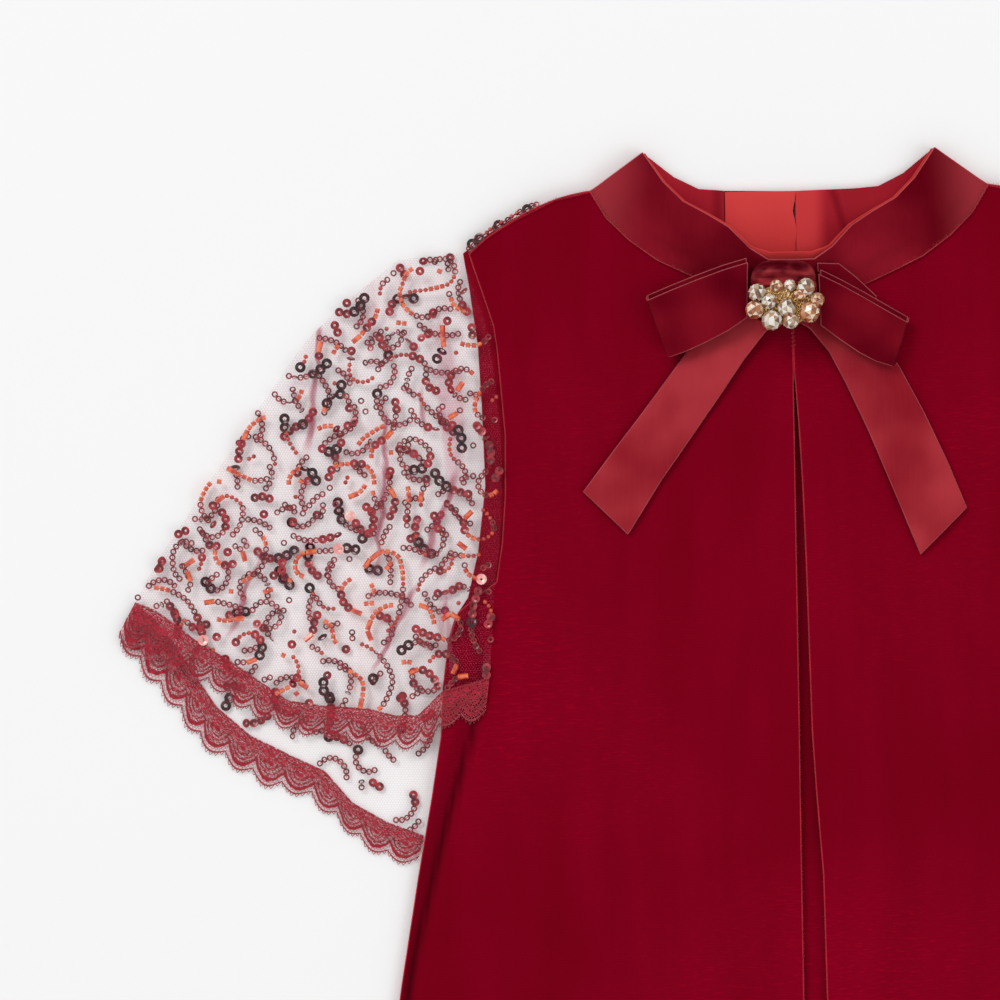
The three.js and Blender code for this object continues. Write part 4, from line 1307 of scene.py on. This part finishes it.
CELL = 3.0
BEND_RANGE = (0.08, 0.34)
BEND_CHANGE = 0.25
BEND_PER_STEP = 0.55
NEW_BEND = 0.3
STEP_TURN = 0.14
RUN_TURN = 0.35
UNDER_LAYER_Z = 0.5
print("faces of a ring sequin:", len(KINDS["ring"]["stamp"][1]))


class Sparse:
    """Places already taken, kept by cell so that near ones are found quickly."""

    def __init__(self):
        self.cells = {}

    def add(self, x, y, owner):
        self.cells.setdefault((int(x // CELL), int(y // CELL)), []).append((x, y, owner))

    def free(self, x, y, gap, owner):
        cx, cy = int(x // CELL), int(y // CELL)
        reach = int(gap // CELL) + 1
        for i in range(cx - reach, cx + reach + 1):
            for j in range(cy - reach, cy + reach + 1):
                for px, py, who in self.cells.get((i, j), ()):
                    if who != owner and math.hypot(px - x, py - y) < gap:
                        return False
        return True


def layer_point(tree, x, y, upper):
    """A place on one layer of a sleeve under (x, y) in mm, or None off its cloth."""
    if upper:
        hit = drop(tree, x * MM, y * MM)
        return hit if hit is not None and hit.z > BETWEEN_LAYERS_Z * MM else None
    hit = tree.ray_cast(Vector((x * MM, y * MM, RAY_FOOT)), Vector((0, 0, 1)))[0]
    return Vector((x * MM, y * MM, MM)) if hit is not None and hit.z < UNDER_LAYER_Z * MM else None


def pick(rng, shares):
    return rng.choices(list(shares), weights=list(shares.values()))[0]


def bead_line(rng, tree, layer, start, taken, owner, length):
    """One wandering line: a list of (kind, place, heading)."""
    x, y = start
    heading = rng.uniform(0, math.tau)
    bend = rng.choice((-1, 1)) * rng.uniform(*BEND_RANGE)
    line, walked = [], 0.0
    while walked < length:
        kind = pick(rng, layer["shares"])
        low, high = KINDS[kind]["run"]
        for _ in range(rng.randint(low, high)):
            step = KINDS[kind]["step"]
            x += math.cos(heading) * step * 0.5
            y += math.sin(heading) * step * 0.5
            place = layer_point(tree, x, y, layer["upper"])
            if place is None or not taken.free(x, y, LINE_GAP, owner):
                return line
            line.append((kind, place, heading))
            taken.add(x, y, owner)
            x += math.cos(heading) * step * 0.5
            y += math.sin(heading) * step * 0.5
            walked += step
            heading += bend * step * BEND_PER_STEP + rng.uniform(-STEP_TURN, STEP_TURN)
        if rng.random() < BEND_CHANGE:
            bend = rng.uniform(-NEW_BEND, NEW_BEND)
        heading += rng.uniform(-RUN_TURN, RUN_TURN)
    return line


def bead_matrix(rng, kind, place, heading):
    """Where a bead sits. Sequins lie a little tilted, and a few stand on edge."""
    tilt_size = GLASS_TILT if kind in GLASS else SEQUIN_TILT
    edge_on = kind not in GLASS and rng.random() < EDGE_ON_SHARE
    tilt = rng.uniform(*EDGE_ON_TILT) if edge_on else rng.gauss(0, tilt_size)
    turn = Matrix.Rotation(heading, 4, "Z") @ Matrix.Rotation(tilt, 4, rng.choice("XY"))
    up = Vector((0, 0, (BEAD_UP + rng.uniform(0, BEAD_UP_SPREAD)) * MM))
    return Matrix.Translation(place + up) @ turn


def sew_on(prefix, items, threads, radius):
    """One mesh for each kind of bead and one for their threads."""
    for kind, placed in items.items():
        if placed:
            beads = stamped(f"{prefix}_{kind}", placed, KINDS[kind]["material"], kind not in TUBES)
            dress_piece(beads, None)
    dress_piece(cords(f"{prefix}_thread", threads, radius, BEAD_THREAD), None)

# %% [markdown]
# ## Embroidery
# The upper layer of a sleeve is covered with lines of all kinds of beads. The under layer shows
# only at the hem, and it has shorter lines of flat sequins. Places are tried at random, and a
# line starts where there is cloth and no other line is near.

# %% embroidery of the sleeves
THREAD_UP = Vector((0, 0, 0.15 * MM))
LAYERS = [
    {"upper": True, "box": (116, 268, 60, 240), "tries": 2600, "length": (14, 44), "start": 5.0,
     "shares": UPPER_SHARES},
    {"upper": False, "box": (126, 262, 8, 240), "tries": 900, "length": (6, 18), "start": 7.5,
     "shares": UNDER_SHARES},
]
SLEEVE_SEEDS = {"left": 21, "right": 34}
BEAD_THREAD_RADIUS = 0.13


def layer_lines(rng, tree, side, layer):
    """Bead lines that fill one layer of a sleeve."""
    taken, lines = Sparse(), []
    x0, x1, y0, y1 = layer["box"]
    for owner in range(layer["tries"]):
        x, y = side * rng.uniform(x0, x1), rng.uniform(y0, y1)
        on_cloth = layer_point(tree, x, y, layer["upper"]) is not None
        if on_cloth and taken.free(x, y, layer["start"], owner):
            length = rng.uniform(*layer["length"])
            line = bead_line(rng, tree, layer, (x, y), taken, owner, length)
            lines.append([(*bead, bead_matrix(rng, *bead)) for bead in line])
    return lines


def embroider(side, word):
    rng = random.Random(SLEEVE_SEEDS[word])
    tree = node_tree(f"sleeve_{word}")
    items = {kind: [] for kind in KINDS}
    threads = []
    for layer in LAYERS:
        for line in layer_lines(rng, tree, side, layer):
            for kind, place, heading, matrix in line:
                items[kind].append((KINDS[kind]["stamp"], matrix))
            if len(line) > 1:
                threads.append([place + THREAD_UP for _, place, _, _ in line])
    sew_on(f"sleeve_{word}", items, threads, BEAD_THREAD_RADIUS)
    print(word, {kind: len(placed) for kind, placed in items.items()}, "lines", len(threads))


for side, word in SIDES:
    embroider(side, word)

# %% [markdown]
# ## Shoulder seams
# The sleeve's net is caught in the shoulder seam, and a few of its beads peep past the velvet.
# They are strung on one short thread along the seam.

# %% shoulder seams
SHOULDER_OUT = (0.6, 1.7)
SHOULDER_RUN = (0.02, 0.62)
SHOULDER_LEVEL = 3.2
SHOULDER_BEADS = 16
SHOULDER_SHARES = {"ring": 5, "dark": 2, "seed": 4}
SHOULDER_THREAD_RADIUS = 0.3
SHOULDER_SEEDS = {"left": 3, "right": 4}


def shoulder_beads(side, word):
    rng = random.Random(SHOULDER_SEEDS[word])
    line = [Vector((x, y)) for x, y in SHOULDER]
    items = {kind: [] for kind in SHOULDER_SHARES}
    thread = []
    first, last = SHOULDER_RUN
    for i in range(SHOULDER_BEADS):
        share = first + (last - first) * (i + rng.uniform(0, 0.8)) / SHOULDER_BEADS
        here = along(line, share)
        way = (along(line, share + 0.02) - here).normalized()
        out = Vector((way.y, -way.x)) * rng.uniform(*SHOULDER_OUT)
        place = Vector((side * (here.x + out.x), here.y + out.y, SHOULDER_LEVEL)) * MM
        kind = pick(rng, SHOULDER_SHARES)
        matrix = bead_matrix(rng, kind, place, rng.uniform(0, 3))
        items[kind].append((KINDS[kind]["stamp"], matrix))
        thread.append(place)
    sew_on(f"shoulder_{word}", items, [thread], SHOULDER_THREAD_RADIUS)


for side, word in SIDES:
    shoulder_beads(side, word)

# %% [markdown]
# ## Edges of the velvet
# Along its seams and folds the pile stands out sideways as a fine fringe, coloured brighter than
# the velvet as painted sheen. Each fibre is a thin spike, because a hair system isn't a mesh and
# would be left out of the exported model.

# %% pile fringes
FIBRE = spike_stamp(0.07, 1.0)
FIBRE_STEP = 0.4
FIBRE_WIDTH = 1.2
FIBRE_INSET = 0.9
FIBRE_FAN = 0.7
FIBRE_RISE = (-0.15, 0.6)
NECK_FIBRES = {"reach": (1.2, 2.2), "up": 1.0}
PLEAT_LEFT = [(0.6, 214), (0.6, -278)]
PLEAT_RIGHT = [
    (14.2, -278), (9.3, -54), (8.8, -8), (5.4, 38), (4.0, 114), (2.8, 158), (0.9, 184), (0.9, 214),
]


def fibre_matrix(rng, base, out, reach):
    """A fibre that points out of the edge, fanned a little and mostly upwards."""
    fan = Matrix.Rotation(out + rng.uniform(-FIBRE_FAN, FIBRE_FAN), 4, "Z")
    rise = Matrix.Rotation(-rng.uniform(*FIBRE_RISE), 4, "Y")
    size = Matrix.Diagonal((rng.uniform(*reach), FIBRE_WIDTH, FIBRE_WIDTH, 1.0))
    return Matrix.Translation(base) @ fan @ rise @ size


def fringe(name, lines, node, seed, reach=(0.8, 1.5), up=-0.15):
    """Fibres along lines of (x, y) in mm that point to the left of the way the line runs."""
    rng = random.Random(seed)
    tree = node_tree(node)
    items = []
    for points in lines:
        total = sum(math.dist(a, b) for a, b in zip(points, points[1:]))
        for i in range(int(total / FIBRE_STEP)):
            share = (i + rng.random()) * FIBRE_STEP / total
            here = along(points, share)
            way = along(points, min(share + 0.01, 1.0)) - along(points, max(share - 0.01, 0.0))
            out = math.atan2(way.x, -way.y)
            inside = here - Vector((math.cos(out), math.sin(out))) * FIBRE_INSET
            hit = drop(tree, inside.x * MM, inside.y * MM)
            if hit is not None:
                base = Vector((inside.x * MM, inside.y * MM, hit.z + up * MM))
                items.append((FIBRE, fibre_matrix(rng, base, out, reach)))
    dress_piece(stamped(name, items, PILE_FIBRE_SHEEN), None)


def mirrored(points):
    return [(-x, y) for x, y in points]


LEFT_EDGES = [mirrored(BODY_EDGE), mirrored(SHOULDER), PLEAT_LEFT]
RIGHT_EDGES = [BODY_EDGE[::-1], SHOULDER[::-1], PLEAT_RIGHT]
LEFT_NECK = [mirrored(NECK_SEAM)[::-1], mirrored(SHOULDER)] * 2
RIGHT_NECK = [NECK_SEAM, SHOULDER[::-1]] * 2
fringe("pile_fringe_left", LEFT_EDGES, "front_left", 5)
fringe("pile_fringe_right", RIGHT_EDGES, "front_right", 6)
fringe("pile_neck_left", LEFT_NECK, "front_left", 7, **NECK_FIBRES)
fringe("pile_neck_right", RIGHT_NECK, "front_right", 8, **NECK_FIBRES)

# %% [markdown]
# ## Seam above the pleat
# The two halves of the front are closed above the pleat by a seam. Its small stitches show as a
# fine slanting row. Each is a short piece of cord over the seam.

# %% seam stitches
STITCH_STEP = 1.7
STITCH_RUN = (186, 216)
STITCH_RADIUS = 0.16
STITCH_LEVEL_AT = (-0.4, 200)
STITCH_PLACES = ((-0.3, 0.0, 0.0), (0.5, 0.4, 0.3), (1.3, 0.8, 0.0))


def seam_stitches():
    x, y = STITCH_LEVEL_AT
    level = drop(node_tree("front_left"), x * MM, y * MM)
    low, high = STITCH_RUN
    paths = []
    for i in range(int((high - low) / STITCH_STEP)):
        foot = Vector((0, (low + i * STITCH_STEP) * MM, level.z))
        paths.append([foot + Vector(step) * MM for step in STITCH_PLACES])
    # The stitches take the pile fibres' brighter colour, a painted sheen.
    return cords("front_seam_stitches", paths, STITCH_RADIUS, PILE_FIBRE_SHEEN)


dress_piece(seam_stitches(), None)

# %% [markdown]
# ## Crystal cluster
# Faceted glass beads, clear and amber, are sewn round a padded patch of gold wire and tiny beads
# on the knot. The crystals are balls of flat faces, and the wire is a tangle of small loops.

# %% crystals
GEMS = [
    (-14.6, 220.6, 3.2, "clear"), (-15.6, 213.8, 3.2, "amber"), (-8.9, 209.4, 3.6, "clear"),
    (-1.4, 209.2, 2.9, "clear"), (6.0, 212.3, 3.6, "amber"), (9.3, 217.2, 2.6, "amber"),
    (4.9, 222.6, 3.1, "clear"), (-6.8, 223.0, 2.3, "amber"), (-1.4, 223.2, 2.2, "clear"),
    (-2.9, 214.4, 3.4, "clear"), (-9.9, 217.0, 2.8, "clear"), (2.6, 219.6, 2.4, "amber"),
]
GEM_MATERIALS = {"clear": CRYSTAL_CLEAR, "amber": CRYSTAL_AMBER}
GEM_FOOT = 23.2
GEM_GROW = 1.18
GEM_RISE = 0.8
GEM_SQUASH = 0.92
GEM_SEED = 8
FACET_SEED = 12
PAD_PLACE = Vector((-3.2, 215.9, 23.5))
PAD_SIZE = Vector((13.0, 8.0, 1.3))
GOLD_BEADS = 84
GOLD_BEAD_REACH = 0.9
GOLD_BEAD_RADIUS = 0.8
GOLD_BEAD_SQUASH = 0.9
WIRE_LOOPS = 44
WIRE_REACH = 0.85
WIRE_SIZE = (1.2, 2.4)
WIRE_RADIUS = 0.2
WIRE_POINTS = 8
WIRE_NARROW = 0.6
WIRE_UP = 0.6
WIRE_WAVE = 0.5


def make_pad():
    bm = bmesh.new()
    bmesh.ops.create_uvsphere(bm, u_segments=32, v_segments=12, radius=MM)
    bmesh.ops.scale(bm, verts=bm.verts, vec=PAD_SIZE)
    bmesh.ops.translate(bm, verts=bm.verts, vec=PAD_PLACE * MM)
    return new_object("crystal_pad", bm, [GOLD_THREAD])


def on_pad(rng, reach):
    """A place on the pad's top, in mm; a reach of 1 goes to its rim."""
    angle, radius = rng.uniform(0, math.tau), reach * math.sqrt(rng.random())
    x, y = math.cos(angle) * radius, math.sin(angle) * radius
    z = math.sqrt(max(1 - x * x - y * y, 0.0))
    return PAD_PLACE + Vector((x * PAD_SIZE.x, y * PAD_SIZE.y, z * PAD_SIZE.z))


def gems_of(rng, word):
    """The crystals of one colour, each turned at random."""
    items = []
    for x, y, radius, kind in GEMS:
        if kind == word:
            place = Vector((x, y, GEM_FOOT + radius * GEM_RISE)) * MM
            turn = Matrix.Rotation(rng.uniform(0, 3), 4, "Z") @ Matrix.Rotation(rng.uniform(0, 1), 4, "X")
            gem = ball_stamp(radius * GEM_GROW, level=2, squash=GEM_SQUASH)
            items.append((gem, Matrix.Translation(place) @ turn))
    return items


def wire_loop(rng):
    """A small oval of wire on the pad, which waves up and down as it goes round."""
    middle = on_pad(rng, WIRE_REACH)
    wide, turn = rng.uniform(*WIRE_SIZE), rng.uniform(0, math.pi)
    loop = []
    for k in range(WIRE_POINTS + 1):
        a = math.tau * k / WIRE_POINTS
        step = Vector((math.cos(a) * wide, math.sin(a) * wide * WIRE_NARROW, 0.0))
        step.rotate(Matrix.Rotation(turn, 3, "Z"))
        up = Vector((0, 0, WIRE_UP + WIRE_WAVE * math.sin(2 * a)))
        loop.append((middle + step + up) * MM)
    return loop


def make_cluster():
    rng = random.Random(GEM_SEED)
    dress_piece(make_pad(), "crystal_cluster")
    for word, material in GEM_MATERIALS.items():
        gems = stamped(f"crystal_{word}", gems_of(rng, word), material, False, FACET_SEED)
        dress_piece(gems, None)
    bead = ball_stamp(GOLD_BEAD_RADIUS, squash=GOLD_BEAD_SQUASH)
    places = [on_pad(rng, GOLD_BEAD_REACH) for _ in range(GOLD_BEADS)]
    items = [(bead, Matrix.Translation(place * MM)) for place in places]
    dress_piece(stamped("crystal_seeds", items, GOLD_GLASS), None)
    loops = [wire_loop(rng) for _ in range(WIRE_LOOPS)]
    dress_piece(cords("crystal_wire", loops, WIRE_RADIUS, GOLD_WIRE, 1), None)


make_cluster()

# %% [markdown]
# ## Camera, light and floor
# The camera looks straight down from two metres, turned by one degree, at the part of the dress
# that the picture shows. A pale floor and a large soft light give the thin shadows of a thing
# laid flat in a studio. The light from all round keeps them pale.

# %% camera, light and floor
CAMERA_TILT = math.radians(-1.0)
CAMERA_AIM = (-117.8, 140.2)
CAMERA_HEIGHT = 2.0
CLOTH_LEVEL = 0.006
PICTURE_WIDTH = 0.4
SENSOR = 36.0
FLOOR_HALF = 3.0
FLOOR_LEVEL = -0.0002
FLOOR_DARK = srgb(244, 244, 244)
FLOOR_LIGHT = srgb(247, 247, 247)
LIGHT_AIM = Vector((-0.1, 0.1, 0.0))
LIGHTS = [("key", (-2.2, 2.6, 3.4), 2.0, 74.0), ("fill", (1.4, -0.6, 1.5), 1.4, 6.0)]
ROOM_LIGHT = 0.71


def make_camera():
    data = bpy.data.cameras.new("camera")
    data.sensor_width = SENSOR
    data.lens = SENSOR * CAMERA_HEIGHT / PICTURE_WIDTH
    data.clip_end = 20.0
    camera = placed_object("camera", data)
    camera.location = (CAMERA_AIM[0] * MM, CAMERA_AIM[1] * MM, CAMERA_HEIGHT + CLOTH_LEVEL)
    camera.rotation_euler = (0, 0, CAMERA_TILT)
    bpy.context.scene.camera = camera
    print("picture width in metres:", PICTURE_WIDTH, "lens in mm:", round(data.lens, 1))


def floor_material():
    g = Graph("pale_floor")
    speck = g.noise(900.0, 3.0)
    cloud = g.noise(3.0, 2.0)
    colour = g.mix(speck * 0.3 + cloud * 0.3, FLOOR_DARK, FLOOR_LIGHT)
    return g.finish(
        base_color=colour,
        roughness=0.9,
        specular_ior_level=0.1,
        normal=g.bump(speck, 0.05, 0.0001),
    )


def make_floor():
    bm = bmesh.new()
    bmesh.ops.create_grid(bm, x_segments=2, y_segments=2, size=FLOOR_HALF)
    floor = new_object("floor", bm, [floor_material()])
    floor.location.z = FLOOR_LEVEL


def area_light(name, place, size, power):
    data = bpy.data.lights.new(name, "AREA")
    data.shape = "DISK"
    data.size = size
    data.energy = power
    light = placed_object(name, data)
    light.location = place
    light.rotation_euler = (Vector(place) - LIGHT_AIM).to_track_quat("Z", "Y").to_euler()


def make_light():
    world = bpy.data.worlds.new("studio")
    world.use_nodes = True
    background = world.node_tree.nodes["Background"]
    background.inputs["Color"].default_value = (1.0, 1.0, 1.0, 1.0)
    background.inputs["Strength"].default_value = ROOM_LIGHT
    bpy.context.scene.world = world
    for light in LIGHTS:
        area_light(*light)


make_camera()
make_floor()
make_light()
bpy.context.scene.view_settings.view_transform = "Standard"
